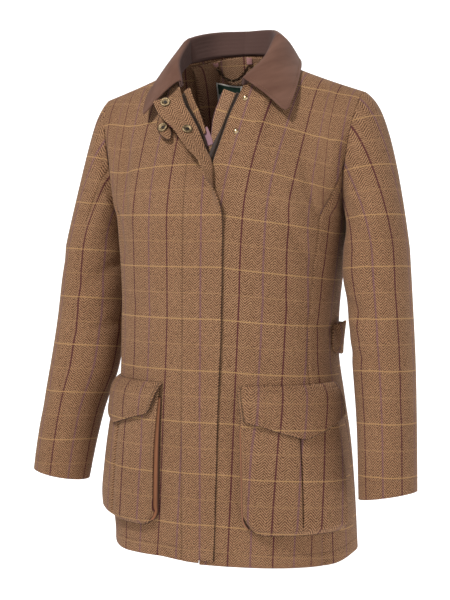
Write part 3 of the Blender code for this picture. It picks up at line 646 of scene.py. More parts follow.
# Metres of cloth to a whole share, near enough
SHARE_RUN = 0.30
SEAM_DENT, SEAM_HALF = 0.0011, 0.0022
for name, side in SIDES:
    # Centre front, from the closing edge to the shaping seam and the upper armhole
    level = LEVELS[:, None]
    limit = np.where(level > 1.42, 1.0, princess(level) - GAP * np.where(level > 1, 4.6, 1))
    tries = np.linspace(0.001, 0.4, 300)
    found = body(side, False, tries[None, :], level, False)[..., 0]
    placket = np.array([[np.interp(PLACKET_EDGE, row * side, tries)] for row in found])
    placket = np.maximum(placket, 0.003)
    near = 0.001 + graded(14, 0.05)[None, :] * (placket - 0.0014)
    far = placket + 0.0004 + graded(50)[None, :] * (limit - placket - 0.0004)
    share = np.concatenate([near, far], axis=1)
    level = level + 0 * share
    out = body_out(side, False, share, level)
    outer = body(side, False, share, level) + out * overlap(side, share)[..., None]
    place = front_place(side, outer, height_on(outer, level))
    if side < 0:
        strip = arc_at(outer[..., 0]) * np.sign(outer[..., 0]) - PLACKET_MAUVE + STRIPE / 2
        place[..., 0] = np.where(share < placket, strip, place[..., 0])
    dent = SEAM_DENT * bell((share - limit) * SHARE_RUN, SEAM_HALF) * (level < 1.45)
    dent += 0.0009 * bell((share - placket) * SHARE_RUN, 0.0014) * (side < 0) * (placket > 0.02)
    inside = np.where((level[:-1, :-1] > 1.3) & (share[:-1, :-1] < 0.55), 0, 1)
    made = panel(f"front_cloth_{name}", outer, out, level, place, dent, inside)
    cut_from(made, outer, 0.265, 0.865, f"front_{name}", f"front_top_{name}")

    # Side front, from the shaping seam to the side seam and the lower armhole
    level = LEVELS[LEVELS <= 1.40][:, None]
    low = princess(level) + GAP * np.where(level > 1, 4.6, 1)
    share = low + (1 - 0.0006 - low) * graded(34)[None, :]
    level = level + 0 * share
    outer = body(side, False, share, level)
    place = stack(run_along(outer, 1) - 0.020, height_on(outer, level) + fall(side, outer) - FIRST_LINE)
    dent = SEAM_DENT * bell((share - low) * SHARE_RUN, SEAM_HALF)
    made = panel(f"side_front_cloth_{name}", outer, body_out(side, False, share, level), level, place, dent)
    cut_from(made, outer, 0.092, 0.650, f"side_front_{name}")

    # Back half, from the centre back seam to the side seam and the armhole
    share = 0.001 + (1 - 0.0006 - 0.001) * graded(64)[None, :]
    level = LEVELS[:, None] + 0 * share
    outer = body(side, True, share, level)
    place = stack(run_along(outer, 1) - 0.040, height_on(outer, level) - FIRST_LINE)
    dent = SEAM_DENT * bell(share * SHARE_RUN, SEAM_HALF)
    inside = np.where((level[:-1, :-1] > 1.47) & (share[:, :-1] < 0.55), 0, 1)
    made = panel(f"back_cloth_{name}", outer, body_out(side, True, share, level), level, place, dent, inside)
    cut_from(made, outer, 0.290, 0.850, f"back_{name}", f"back_top_{name}")

    # Stitches above the hem, and down the inner edge of the right front's placket
    seam = float(princess(np.array(HEM_SEWN)))
    lines = []
    for behind, low, high in (
        (False, 0.012, seam - 0.006), (False, seam + 0.006, 0.994), (True, 0.006, 0.994),
    ):
        share = np.linspace(low, high, 120)
        lift = overlap(side, share) * (not behind) - 0.0005
        out = body_out(side, behind, share, HEM_SEWN)
        lines.append((body(side, behind, share, HEM_SEWN) + out * lift[:, None], out))
    if side < 0:
        level = np.linspace(0.004, 1.72, 300)
        share = np.interp(level, LEVELS, placket[:, 0]) + 0.0035
        out = body_out(side, False, share, level)
        lines.append((body(side, False, share, level) + out * overlap(side, share)[:, None], out))
    sewn(f"body_stitches_{name}", lines)

# Sleeves: set-in, each of a top and an under piece, hanging beside the body with a bend at the elbow.
# The cap is eased into the armhole, and the cuff is a plain turned hem.
SLEEVE_TURN = math.radians(18)
RIGHT_ARM_BACK = 0.030
CUFF_TILT = 0.007
# Sleeve sections below the cap: height, centre x, centre y, half width, half depth
SLEEVE = (
    (-0.695, 0.2885, -0.070, 0.0440, 0.0470),
    (-0.577, 0.2800, -0.049, 0.0455, 0.0540),
    (-0.490, 0.2720, -0.037, 0.0480, 0.0580),
    (-0.400, 0.2630, -0.027, 0.0495, 0.0610),
    (-0.310, 0.2545, -0.018, 0.0500, 0.0635),
)
SLEEVE_ROUND = 0.357
# Folds of a sleeve: place round it from the top line towards the front, then as for the body
SLEEVE_FOLDS = {
    1: (
        (0.135, -0.405, 0.090, 0.011, 62, -0.0034),
        (0.120, -0.440, 0.110, 0.010, 70, 0.0026),
        (0.140, -0.478, 0.100, 0.011, 80, -0.0030),
        (0.095, -0.330, 0.130, 0.013, 28, -0.0024),
        (0.125, -0.255, 0.120, 0.012, 10, -0.0034),
        (0.060, -0.560, 0.120, 0.014, 30, -0.0018),
        (-0.100, -0.440, 0.120, 0.013, -66, -0.0030),
        (-0.090, -0.490, 0.100, 0.012, -74, -0.0024),
        (-0.085, -0.230, 0.150, 0.014, -12, -0.0030),
    ),
    -1: (
        (0.150, -0.350, 0.110, 0.012, 58, -0.0036),
        (0.130, -0.395, 0.100, 0.010, 66, 0.0024),
        (0.145, -0.445, 0.120, 0.011, 76, -0.0034),
        (0.110, -0.235, 0.150, 0.013, 16, -0.0036),
        (0.070, -0.300, 0.120, 0.015, 30, -0.0018),
        (0.090, -0.540, 0.130, 0.014, 40, -0.0020),
        (-0.095, -0.410, 0.130, 0.013, -62, -0.0030),
        (-0.090, -0.250, 0.150, 0.014, -10, -0.0032),
    ),
}


def sleeve(side, round_, along):
    """Outer sleeve surface. Round is 0 at the top of the cap, 0.25 in front and 0.5 under the arm. Along is
    1 at the biceps and 2 at the cuff."""
    round_, along = np.broadcast_arrays(np.asarray(round_, float), np.asarray(along, float))
    place_round = round_
    round_ = round_ % 1.0
    ones = np.ones_like(round_)
    front = body(1, False, ones, 2 - 2 * np.clip(round_, 0, 0.5), False)
    rear = body(1, True, ones, 2 * np.clip(round_, 0.5, 1), False)
    start = np.where((round_ <= 0.5)[..., None], front, rear)
    start[..., 0] += 0.0006 + 0.0018 * ease(0.2, 0.5, 0.5 - np.abs(round_ - 0.5))
    spin = 2 * math.pi * round_
    out = np.array((math.cos(SLEEVE_TURN), math.sin(SLEEVE_TURN), 0.0))

    def section(z):
        values = through(SLEEVE, z)
        step = through(SLEEVE, z - 0.01) - through(SLEEVE, z + 0.01)
        axis = unit(stack(step[..., 0], step[..., 1], np.full(z.shape, -0.02)))
        over = unit(out - axis * (axis @ out)[..., None])
        fore = np.cross(axis, over)
        lag = RIGHT_ARM_BACK * ease(SLEEVE[0][0], -0.42, z) * (side < 0)
        tilt = CUFF_TILT * ease(-0.50, SLEEVE[0][0], z)
        centre = stack(values[..., 0], values[..., 1] + lag, z + tilt * np.cos(spin))
        if side < 0:
            elbow = 0.014 * bell(z + 0.45, 0.09) + 0.008 * bell(z + 0.52, 0.04)
        else:
            elbow = 0.005 * bell(z + 0.345, 0.035)
        wide = values[..., 2] * np.cos(spin) - elbow * np.clip(-np.cos(spin), 0, 1)
        deep = values[..., 3] * np.sin(spin)
        return centre + over * wide[..., None] + fore * deep[..., None]

    first = np.full(round_.shape, SLEEVE[-1][0])
    lean = np.cos(spin)[..., None]
    top = ((1 + lean) / 2) ** 2
    under = ((1 - lean) / 2) ** 2
    full = 0.12 if side > 0 else 0.09

    def blend(over, beside, below):
        return top * np.array(over) + (1 - top - under) * np.array(beside) + under * np.array(below)

    leave = blend((full, 0, -0.085), (0.055, 0, -0.10), (0.03, 0, -0.03))
    arrive = blend((0.16 - full, -0.02, -0.26), (0.02, -0.01, -0.15), (0, 0, -0.06))
    cap = hermite(start, section(first), leave, arrive, np.clip(along, 0, 1)[..., None])
    tube = section(first + (SLEEVE[0][0] - first) * np.clip(along - 1, 0, 1))
    point = np.where((along <= 1)[..., None], cap, tube)
    away = stack(
        out[0] * np.cos(spin) + out[1] * np.sin(spin), out[1] * np.cos(spin) - out[0] * np.sin(spin),
        0 * spin)
    quiet = ease(0.04, 0.25, along) * ease(2.0, 1.9, along)
    raised = folds(SLEEVE_FOLDS[side], place_round * SLEEVE_ROUND, point[..., 2]) * quiet
    point = point + away * raised[..., None]
    return point * np.array((side, 1.0, 1.0))


def sleeve_in(side, spin, run):
    """Unit normal into the sleeve, found by small steps along it."""
    ahead = sleeve(side, spin + 1e-3, run) - sleeve(side, spin - 1e-3, run)
    step = np.where(np.asarray(run) > 1, -1e-3, 1e-3)
    down = (sleeve(side, spin, run + step) - sleeve(side, spin, run)) / step[..., None]
    return unit(np.cross(down, ahead) * side)


CUFF_SEWN = 1.948
CAP_ROWS = 62
# Sleeve cloth, by side: place round the sleeve of the first stripe, height of one line
SLEEVE_CLOTH = {1: (0.181, -0.256), -1: (0.311, -0.315)}
for name, side in SIDES:
    stripe_round, line_z = SLEEVE_CLOTH[side]
    for piece, start, end, columns, wide, long, nodes in (
        ("top", -0.31, 0.29, 74, 0.300, 0.660, ("top", "cap")),
        ("under", 0.29, 0.69, 50, 0.190, 0.540, ("under",)),
    ):
        run = np.concatenate([
            np.linspace(0.004, 1, CAP_ROWS), np.linspace(1, 2, 92)[1:-1], [1.9985, 1.9995, 2]])
        spin = start + 0.0006 + (end - start - 0.0012) * graded(columns)
        run, spin = np.broadcast_arrays(run[:, None], spin[None, :])
        outer = sleeve(side, spin, run)
        inward = sleeve_in(side, spin, run)
        inward[..., 0] = np.where(run < 0.05, side * np.minimum(inward[..., 0] * side, 0), inward[..., 0])
        length = run_along(outer)
        place = stack(
            (spin - stripe_round) * SLEEVE_ROUND, SLEEVE[-1][0] - (length - length[CAP_ROWS - 1]) - line_z)
        dent = 0.0010 * bell(np.minimum(spin - start, end - spin) * SLEEVE_ROUND, SEAM_HALF)
        drawn_in = ease(0.24, 0.0, run) * ease(0.125, 0.275, spin) * ease(0.50, 0.45, spin)
        outer = outer + inward * (CLOTH * ease(0.22, 0.0, run) * (1 - drawn_in))[..., None]
        outer[..., 1] += CREASE * drawn_in
        above = outer - inward * (CLOTH - dent)[..., None]
        made = cloth_mesh(
            f"sleeve_{piece}_cloth_{name}", "tweed", above, outer, place, (tweed, lining_satin), 0.25)
        cut_from(made, outer, wide, long, *(f"sleeve_{node}_{name}" for node in nodes))
        spin = np.linspace(start + 0.004, end - 0.004, 90)
        out = -sleeve_in(side, spin, CUFF_SEWN)
        path = sleeve(side, spin, CUFF_SEWN) + out * CLOTH
        sewn(f"cuff_stitches_{piece}_{name}", [(path, out)])

# Collar: a stand sewn to the neck seam and a leaf that folds over its top, in plain brown moleskin, a cotton
# cloth with a short brushed nap. The leaf's edges are turned in and stitched 6 mm from the edge.
COLLAR_THICK = 0.0026
COLLAR_COLUMNS = 44
COLLAR_ROLL = 0.0034
LEAF_INNER_ROWS = 9
LEAF_ROLL_ROWS = 9
# Share from the break to the centre back: rise of the fold above the neck seam, its spread outwards
STAND = (
    (0.00, 0.010, 0.000), (0.25, 0.024, 0.001), (0.50, 0.040, 0.000), (0.75, 0.042, 0.005),
    (1.00, 0.040, 0.010))
# Share: outer edge of the leaf, x, y, z
LEAF = (
    (0.00, 0.126, -0.092, -0.094),
    (0.25, 0.129, -0.048, -0.044),
    (0.50, 0.111, 0.022, 0.001),
    (0.75, 0.067, 0.076, 0.000),
    (1.00, 0.000, 0.092, 0.000),
)
nap = Finish("moleskin", roughness=0.97, sheen=0.06)
place, u, v = nap.cloth_place()
brush = nap.noise(place, 850, 3)
bloom = nap.noise(place, 22, 3)
# Below v = 0, on the stand and the rows of the leaf inside the fold, the nap turns a flat darker brown:
# painted shade of the collar's inside. Elsewhere it mottles between two browns.
moleskin = nap.end(
    nap.mix(
        v.step(-0.003, 0.004), (0.084, 0.045, 0.037),
        nap.mix(bloom.step(0.30, 0.72), (0.112, 0.051, 0.033), (0.164, 0.082, 0.056))),
    brush + (v * 900.0).sine() * (1 - v.step(-0.010, -0.006)) * 0.5, strength=0.30, distance=0.0005)


def neck_seam(side):
    front = body(side, False, np.linspace(0.002, NECK_SHARE, COLLAR_COLUMNS), 2.0)
    rear = body(side, True, np.linspace(NECK_SHARE, 0.0, COLLAR_COLUMNS)[1:], 2.0)
    return np.concatenate([front, rear])


def both_sides(make):
    """Rows made for the right half and then for the left, run from the right front to the left front."""
    return np.concatenate([make(-1), make(1)[:, ::-1][:, 1:]], axis=1)


def stand_and_leaf(side):
    seam = neck_seam(side)
    share = np.linspace(0, 1, len(seam))
    run = np.gradient(seam, axis=0)
    away = unit(stack(run[:, 1], -run[:, 0], 0 * share) * side)
    away[-1] = (0, 1, 0)
    rise, spread = through(STAND, share).T
    base = seam + np.array((0, 0, 0.0016)) - away * COLLAR_THICK * 0.8
    fold = seam + away * spread[:, None] + stack(0 * rise, 0 * rise, rise)
    return base, fold, away, through(LEAF, share) * np.array((side, 1, 1))


def stand(side):
    base, fold, away = stand_and_leaf(side)[:3]
    t = np.linspace(0, 1, 12)[:, None, None]
    return base * (1 - t) + fold * t + away * 0.004 * t * (1 - t)


def leaf(side):
    base, fold, away, edge = stand_and_leaf(side)
    up = np.array((0, 0, 1.0))
    tilt = np.linspace(-1.5, 0.35, LEAF_ROLL_ROWS)[:, None, None]
    over_fold = fold - up * 0.0008 + COLLAR_ROLL * (away * np.sin(tilt) + up * np.cos(tilt))
    start = over_fold[-1]
    t = np.linspace(0, 1, LEAF_INNER_ROWS + 1)[:-1, None, None]
    inner = (base + up * 0.002 - away * 0.0028) * (1 - t) + over_fold[0] * t + away * 0.004 * t * (1 - t)
    leave = (away * math.cos(0.35) - up * math.sin(0.35)) * 0.045
    arrive = (edge - start) * 0.9 + away * 0.01 + np.array((0, 0, -0.03))
    t = np.concatenate([np.linspace(0, 1, 30)[1:-1], [0.985, 0.995, 1]])[:, None, None]
    fall_over = hermite(start, edge, leave, arrive, t)
    blunt = ease(0.055, 0.0, np.linspace(0, 1, len(edge)))[None, :, None] * ease(0.86, 1.0, t)
    fall_over = fall_over + blunt * 0.007 * unit(fall_over[18, 8] - fall_over[-1, 0])
    return np.concatenate([inner, over_fold, fall_over])


def grid_out(middle):
    """Normals of a free grid of points."""
    return unit(np.cross(np.gradient(middle, axis=1), np.gradient(middle, axis=0)))


def grid_place(middle):
    """Lengths along and up a grid of points, for the cloth's coordinates."""
    return stack(run_along(middle, 1), run_along(middle))


def free_cloth(name, slot, middle, thick, finish, roll, place=None, dent=0.0):
    """A free cloth piece round its middle surface. The dent sinks the face that the normals look out of."""
    out = grid_out(middle)
    dent = np.broadcast_to(dent, middle.shape[:2])[..., None]
    place = grid_place(middle) if place is None else place
    return cloth_mesh(
        name, slot, middle + out * (thick / 2 - dent), middle - out * thick / 2, place, (finish,), roll)


middle = both_sides(stand)
lay = grid_place(middle) - (0, 0.1)
made = free_cloth("collar_stand_cloth", "moleskin", middle, COLLAR_THICK, moleskin, 0.2, lay)
cut_from(made, middle, 0.465, 0.042, "collar_stand")
SEWN_IN = 0.006
PAST_FOLD = 0.012
middle = both_sides(leaf)
lay = grid_place(middle)
lay[..., 1] -= lay[LEAF_INNER_ROWS + 4, :, 1]
from_right, from_left, from_below = lay[..., 0], lay[:, -1:, 0] - lay[..., 0], lay[-1:, :, 1] - lay[..., 1]
to_edge = np.minimum(from_below, np.minimum(from_right, from_left))
dent = 0.0006 * bell(to_edge - SEWN_IN, 0.0016) * (lay[..., 1] > PAST_FOLD)
made = free_cloth("collar_leaf_cloth", "moleskin", middle, COLLAR_THICK, moleskin, 0.3, lay, dent)
cut_from(made, middle, 0.580, 0.112, "collar_leaf", held="folded")


def beside_edge(grid, away_from, rows):
    """Values of a grid, row by row, where the distance from the row's start reaches the stitches."""
    return np.array([[np.interp(SEWN_IN, away_from[r], grid[r, :, k]) for k in range(3)] for r in rows])


rows = [r for r in range(len(lay)) if lay[r, 0, 1] > PAST_FOLD and from_below[r, 0] > SEWN_IN]
columns = [c for c in range(lay.shape[1]) if from_right[-1, c] > SEWN_IN and from_left[-1, c] > SEWN_IN]
lines = []
for grid in (middle + grid_out(middle) * (COLLAR_THICK / 2 - 0.0005), grid_out(middle)):
    first = beside_edge(grid, from_right, rows)
    under_edge = beside_edge(grid[::-1].transpose(1, 0, 2), from_below[::-1].T, columns)
    last = beside_edge(grid[:, ::-1], from_left[:, ::-1], rows)[::-1]
    lines.append(np.concatenate([first, under_edge, last]))
sewn("collar_stitches", [tuple(lines)])

# Fly: a doubled strip of tweed that covers the zip. It runs down the right front's edge over the left front,
# and at the neck it is turned back, so that its inner side shows with two brass sockets.
FLY_THICK = 0.0024
FLY_ROLL = 0.17
# Height: width of the strip, share of the width at which it folds back, degrees by which it is turned there
FLY = (
    (-0.808, 0.024, 0.60, 0.0),
    (-0.600, 0.030, 0.60, 0.0),
    (-0.420, 0.036, 0.60, 0.0),
    (-0.300, 0.037, 0.60, 0.0),
    (-0.252, 0.037, 0.60, 14.0),
    (-0.226, 0.037, 0.56, 52.0),
    (-0.204, 0.037, 0.50, 98.0),
    (-0.182, 0.037, 0.43, 126.0),
    (-0.163, 0.037, 0.30, 134.0),
    (-0.141, 0.036, -0.02, 134.0),
    (-0.119, 0.036, -0.17, 146.0),
    (-0.097, 0.041, -0.17, 155.0),
    (-0.056, 0.046, -0.17, 163.0),
)


def centre_level(z):
    """Level of the closing edge at a height."""
    places = np.linspace(0, 2, 801)
    return np.interp(z, body(1, False, 0 * places, places)[:, 2], places)


def edge_frame(side, z):
    """Points of a front's closing edge with its directions: across to the wearer's left, and outwards."""
    level = centre_level(np.asarray(z, float))
    start = 0.001 + 0 * level
    out = body_out(side, False, 0.02 + 0 * level, level)
    run = body(side, False, start, level + 0.002) - body(side, False, start, level - 0.002)
    over = np.cross(out, run)
    over *= np.sign(over[..., :1])
    return body(side, False, start, level), unit(over), out


def fly(share, z):
    """Middle of the fly and the direction its outer face looks in."""
    point, over, out = edge_frame(-1, z)
    width, crease, degrees = np.moveaxis(through(FLY, z), -1, 0)
    free = ease(60, 120, degrees)[..., None]
    out = unit(out * (1 - free) + np.array((0.0, -1.0, 0.0)) * free)
    tilt = 0.31 * ease(-0.16, -0.06, z)
    over = unit(over * (1 - free) + stack(np.sqrt(1 - tilt**2), 0 * tilt, tilt) * free)

    def turn(at):
        return np.radians(np.maximum(degrees, 0) * ease(crease - FLY_ROLL, crease + FLY_ROLL, at))[..., None]

    lift = OVERLAP - FLY_THICK / 2 + 0.0050 * np.sin(turn(0 * share) / 2) ** 2
    place = point + out * lift + over * (0.0005 + 0.001 * np.sin(turn(0 * share)))
    for k in range(24):
        bent = turn(share * (k + 0.5) / 24)
        place = place + (over * np.cos(bent) + out * np.sin(bent)) * (width * share / 24)[..., None]
    return place, out * np.cos(turn(share)) - over * np.sin(turn(share))


def fly_inside(share, z):
    """Where the fly's inner face lies, with the direction it looks in there."""
    place, face = fly(share, z)
    along = fly(share, z + 0.002)[0] - fly(share, z - 0.002)[0]
    cross = fly(share + 0.02, z)[0] - fly(share - 0.02, z)[0]
    inward = unit(np.cross(along, cross))
    inward = inward * -np.sign(np.sum(inward * face, axis=-1, keepdims=True))
    return place + inward * FLY_THICK / 2, inward


z = np.concatenate([np.linspace(-0.808, -0.340, 90), np.linspace(-0.338, -0.056, 84)])[:, None]
share = graded(22, 0.03)[None, :]
share, z = np.broadcast_arrays(share, z)
z = z - 0.013 * ease(-0.13, -0.056, z) * (1 - share) ** 2
middle, face = fly(share, z)
width = through(FLY, z)[..., 0]
place = stack(share * width - PLACKET_MAUVE + STRIPE / 2, z - FIRST_LINE)
wave = 0.0006 * np.sin(z * 61 + 0.6) * ease(0.3, 1.0, share) * ease(-0.30, -0.38, z)
above, below = FLY_THICK / 2 + wave, FLY_THICK / 2 - wave
made = cloth_mesh(
    "fly_cloth", "tweed", middle + face * above[..., None], middle - face * below[..., None], place,
    (tweed, plain_tweed), 0.45)
cut_from(made, middle, 0.050, 0.800, "fly", held="folded")


def tube(name, slot, path, radius, finish, sides=8):
    """A round bar along a path of points."""
    run = unit(np.gradient(path, axis=0))
    lead = unit(np.cross(run, np.array((0.31, 0.22, 0.93))))
    cross = np.cross(run, lead)
    spin = np.linspace(0, 2 * math.pi, sides, endpoint=False)[None, :, None]
    rings = path[:, None] + radius * (lead[:, None] * np.cos(spin) + cross[:, None] * np.sin(spin))
    last = (len(path) - 1) * sides
    caps = [tuple(range(sides))[::-1], tuple(range(last, last + sides))]
    placed(name, rings.reshape(-1, 3), bands(len(path), sides).tolist() + caps, (finish,))


# The dark tubes made with the finish below stand for the shadow under turned edges: painted shadow along the
# fly, the throat tab, the pockets and the flaps.
EDGE_ROUND = 0.0010
painted_edge_shadow = mottled("painted_edge_shadow", (0.030, 0.014, 0.008), (0.095, 0.047, 0.027), 1200, 0.8, bump=0.3)


def edge_shadow_line(name, rim, next_in, below):
    """A thin dark tube along a turned edge, under the face and just beyond the rim. Its dark colour is
    painted shadow under the edge.
    """
    tube(name, "tweed", below + unit(rim - next_in) * EDGE_ROUND, EDGE_ROUND, painted_edge_shadow, 6)


# A painted shadow line along the fly's closed edge.
closed = z[:, -1] < -0.235
below = (middle - face * (FLY_THICK / 2))[closed, -1]
edge_shadow_line("fly_edge_shadow", middle[closed, -1], middle[closed, -2], below)

# Zip: dark twill tapes behind both open edges, with teeth along them, and the slider where they meet.
# A strip of facing and a satin patch show on the right side. A tweed guard piped in burgundy backs the left.
TAPE_THICK = 0.0012
tape = Finish("zip_tape", roughness=0.8)
place, u, v = tape.cloth_place()
rib = ((u + v * 0.6) * 6000.0).sine()
zip_tape = tape.end(
    tape.mix(tape.noise(place, 300, 2), (0.040, 0.028, 0.024), (0.088, 0.062, 0.050)), rib, 0.3, 0.0004)
zip_teeth = mottled("zip_teeth", (0.035, 0.022, 0.016), (0.105, 0.068, 0.042), 900, 0.45, metallic=0.8)


def joined(name, parts, finish):
    """Many like shapes as one mesh. Each is a pair of corners and faces."""
    points = np.concatenate([corners for corners, faces in parts])
    faces = np.concatenate([faces + k * len(corners) for k, (corners, faces) in enumerate(parts)])
    return placed(name, points, faces.tolist(), (finish,))


def block(centre, along, over, out, sizes):
    """Corners and faces of a small tapered block."""
    corners = [
        centre + (along * a * sizes[0] + over * b * sizes[1]) * (1 if c < 0 else 0.72) + out * c * sizes[2]
        for a in (-1, 1) for b in (-1, 1) for c in (-1, 1)]
    faces = ((0, 1, 3, 2), (4, 6, 7, 5), (0, 4, 5, 1), (2, 3, 7, 6), (0, 2, 6, 4), (1, 5, 7, 3))
    return np.array(corners), np.array(faces)


def off_edge(side, z, beyond, drop):
    """Grid of points past a front's closing edge, dropped behind its cloth."""
    point, over, out = edge_frame(side, z + 0 * beyond)
    return point - over * (beyond * side)[..., None] - out * (drop + 0 * beyond)[..., None]


z = np.linspace(-0.180, -0.058, 60)[:, None]
for name, side, inside, outside, wide in (
    ("right", -1, 0.0045, 0.0040, 0.010), ("left", 1, 0.006, 0.0075, 0.020),
):
    shown = outside + 0.006 * ease(-0.10, -0.15, z) * (side > 0)
    beyond = (shown + inside) * np.linspace(0, 1, 8)[None, :] - inside
    sunk = OVERLAP * (side < 0) - CLOTH - TAPE_THICK / 2 - 0.0027
    middle = off_edge(side, z, beyond, -sunk)
    made = free_cloth(f"zip_tape_cloth_{name}", "zip_tape", middle, TAPE_THICK, zip_tape, 0.2)
    cut_from(made, middle, wide, 0.148, f"zip_tape_{name}")
    point, over, out = edge_frame(side, np.linspace(-0.179, -0.060, 50))
    centre = point - over * (outside - 0.0016) * side + out * (sunk + TAPE_THICK / 2 + 0.0006)
    up = unit(np.gradient(point, axis=0))
    parts = [block(*at, (0.00075, 0.0021, 0.0009)) for at in zip(centre, up, over, out)]
    joined(f"zip_teeth_{name}", parts, zip_teeth)

z = np.linspace(-0.124, -0.054, 50)[:, None]
width = 0.0025 + 0.0105 * ease(-0.165, -0.075, z)
beyond = 0.0005 + width * np.linspace(0, 1, 14)[None, :]
strip = off_edge(-1, z, beyond, CLOTH + 0.0024 + (0.0016 + 0.10 * beyond) * ease(-0.12, -0.08, z))
lay = stack(beyond + 0.006, z - FIRST_LINE)
made = free_cloth("front_facing_cloth", "tweed", strip, 0.0018, tweed, 0.5, lay)
cut_from(made, strip, 0.014, 0.090, "front_facing_right", held="folded")
z = np.linspace(-0.142, -0.116, 20)[:, None]
beyond = 0.0015 + 0.0115 * np.linspace(0, 1, 10)[None, :] + 0 * z
patch = off_edge(-1, z, beyond, CLOTH + 0.0052)
free_cloth("front_lining_cloth", "lining_satin", patch, 0.0008, lining_satin, 0.3)

z = np.linspace(-0.200, -0.060, 64)[:, None]
beyond = (0.028 + 0.011 * ease(-0.150, -0.085, z)) * np.linspace(0, 1, 18)[None, :] - 0.008
guard = off_edge(1, z, beyond, CLOTH + 0.0066 + 0.05 * np.clip(beyond, 0, 1))
lay = stack(beyond + 0.004, z - FIRST_LINE)
# The guard takes the paler copy of the tweed, with its painted light.
made = free_cloth("zip_guard_cloth", "tweed", guard, 0.0020, relit_tweed, 0.4, lay)
cut_from(made, guard, 0.040, 0.160, "zip_guard")
burgundy_piping = mottled(
    "burgundy_piping", (0.055, 0.012, 0.018), (0.150, 0.060, 0.070), 700, 0.6, sheen=0.2, sharp=True)
tube("guard_piping", "lining_satin", guard[2:-2, -1], 0.0011, burgundy_piping)

low, high = (np.array(corner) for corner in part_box("zip_slider"))
centre, half = (low + high) / 2, (high - low) / 2
up, over, out = np.array(((0, 0, 1.0), (1.0, 0, 0), (0, -1.0, 0)))
parts = [
    block(centre, up, over, out, (half[2], half[0], half[1])),
    block(centre + np.array((0, -half[1] - 0.0006, 0.002)), up, over, out, (0.0024, 0.0010, 0.0008)),
]
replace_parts(joined("slider", parts, zip_teeth), "zip_slider")

# Press studs: ring sockets riveted through the fly and the throat tab, and ball studs on the left front,
# in brass that has dulled to brown away from the rubbed rims.
aged = Finish("aged_brass", roughness=0.45, metallic=1.0)
speck = aged.noise(aged.node("ShaderNodeTexCoord", out=3), 420, 3)
aged_brass = aged.end(
    aged.mix(speck.step(0.35, 0.65), (0.13, 0.088, 0.048), (0.34, 0.25, 0.14)), speck, 0.1, 0.0003,
    roughness=0.38 + speck * 0.3)
# A near-black disc sits in each socket's centre: painted shade standing in for the socket's hole.
shade = Finish("socket_hole_shade", roughness=0.6, metallic=0.6)
socket_hole_shade = shade.end((0.02, 0.014, 0.010))


def turned(name, profile, at, axis, finish, steps=36):
    """A round piece from a profile of (radius, height) rows that starts and ends on the axis."""
    axis = np.asarray(axis) / np.linalg.norm(axis)
    lead = unit(np.cross(axis, (0.3, 0.2, 0.9)))
    cross = np.cross(axis, lead)
    spin = np.linspace(0, 2 * math.pi, steps, endpoint=False)[None, :, None]
    radius, high = np.array(profile[1:-1]).T
    around = lead * np.cos(spin) + cross * np.sin(spin)
    rings = at + axis * high[:, None, None] + radius[:, None, None] * around
    ends = np.array([at + axis * profile[0][1], at + axis * profile[-1][1]])
    rows = len(radius)
    faces = bands(rows, steps).tolist()
    for j in range(steps):
        n = (j + 1) % steps
        faces.append((rows * steps, n, j))
        faces.append((rows * steps + 1, (rows - 1) * steps + j, (rows - 1) * steps + n))
    return placed(name, np.concatenate([rings.reshape(-1, 3), ends]), faces, (finish,))


RING = ((0, 0.0), (0.0068, 0.0), (0.0079, 0.0004), (0.0084, 0.0010), (0.0081, 0.0017), (0.0070, 0.0022),
        (0.0056, 0.0020), (0.0044, 0.0012), (0.0034, 0.0008), (0, 0.0008))
WELL = ((0, 0.0009), (0.0030, 0.0009), (0.0031, 0.0011), (0.0026, 0.00125), (0, 0.0011))
BALL = ((0, 0.0), (0.0038, 0.0), (0.0045, 0.0004), (0.0046, 0.0009), (0.0038, 0.0013), (0.0027, 0.0016),
        (0.0022, 0.0024), (0.0022, 0.0030), (0.0017, 0.0035), (0.0008, 0.0037), (0, 0.0037))
for name, share, height in (("upper", 0.61, -0.064), ("lower", 0.46, -0.116)):
    at, inward = fly_inside(np.array(share), np.array(height))
    at = at + inward * 0.0003
    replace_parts(turned(f"ring_{name}", RING, at, inward, aged_brass), f"socket_{name}")
    # The dark disc is painted shade in the socket's hole.
    turned(f"well_{name}", WELL, at, inward, socket_hole_shade)
rubbed_brass = mottled("rubbed_brass", (0.52, 0.37, 0.20), (0.80, 0.62, 0.38), 300, 0.3, metallic=1.0)
for name, place_in, height in (("upper", 0.012, -0.073), ("lower", 0.014, -0.127)):
    level = centre_level(np.array(height))
    at = body(1, False, place_in / SHARE_RUN, level)
    out = body_out(1, False, place_in / SHARE_RUN, level)
    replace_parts(turned(f"ball_{name}", BALL, at + out * 0.0001, out, rubbed_brass), f"stud_{name}")


# Throat tab: a small round-ended tweed tab on the right front, under the turned-back fly. It has its own
# socket, and a dark tube round its edge that is painted shadow.
def across(back, share, level, off):
    """Points moved off the body by a distance. Shares run over the centre line from right to left."""
    share, level, off = np.broadcast_arrays(*(np.asarray(a, float) for a in (share, level, off)))
    found = np.zeros(share.shape + (3,))
    for side in (-1, 1):
        mine = share >= 0 if side > 0 else share < 0
        near = np.abs(share)
        point = body(side, back, near, level) + body_out(side, back, near, level) * off[..., None]
        found[mine] = point[mine]
    return found


def laid(name, slot, back, share, level, off, thick, place, finish, roll):
    """A cloth that lies off the body, with the grids of its outer and inner points."""
    outer, below = across(back, share, level, off), across(back, share, level, off - thick)
    return cloth_mesh(name, slot, outer, below, place, (finish,), roll), outer, below


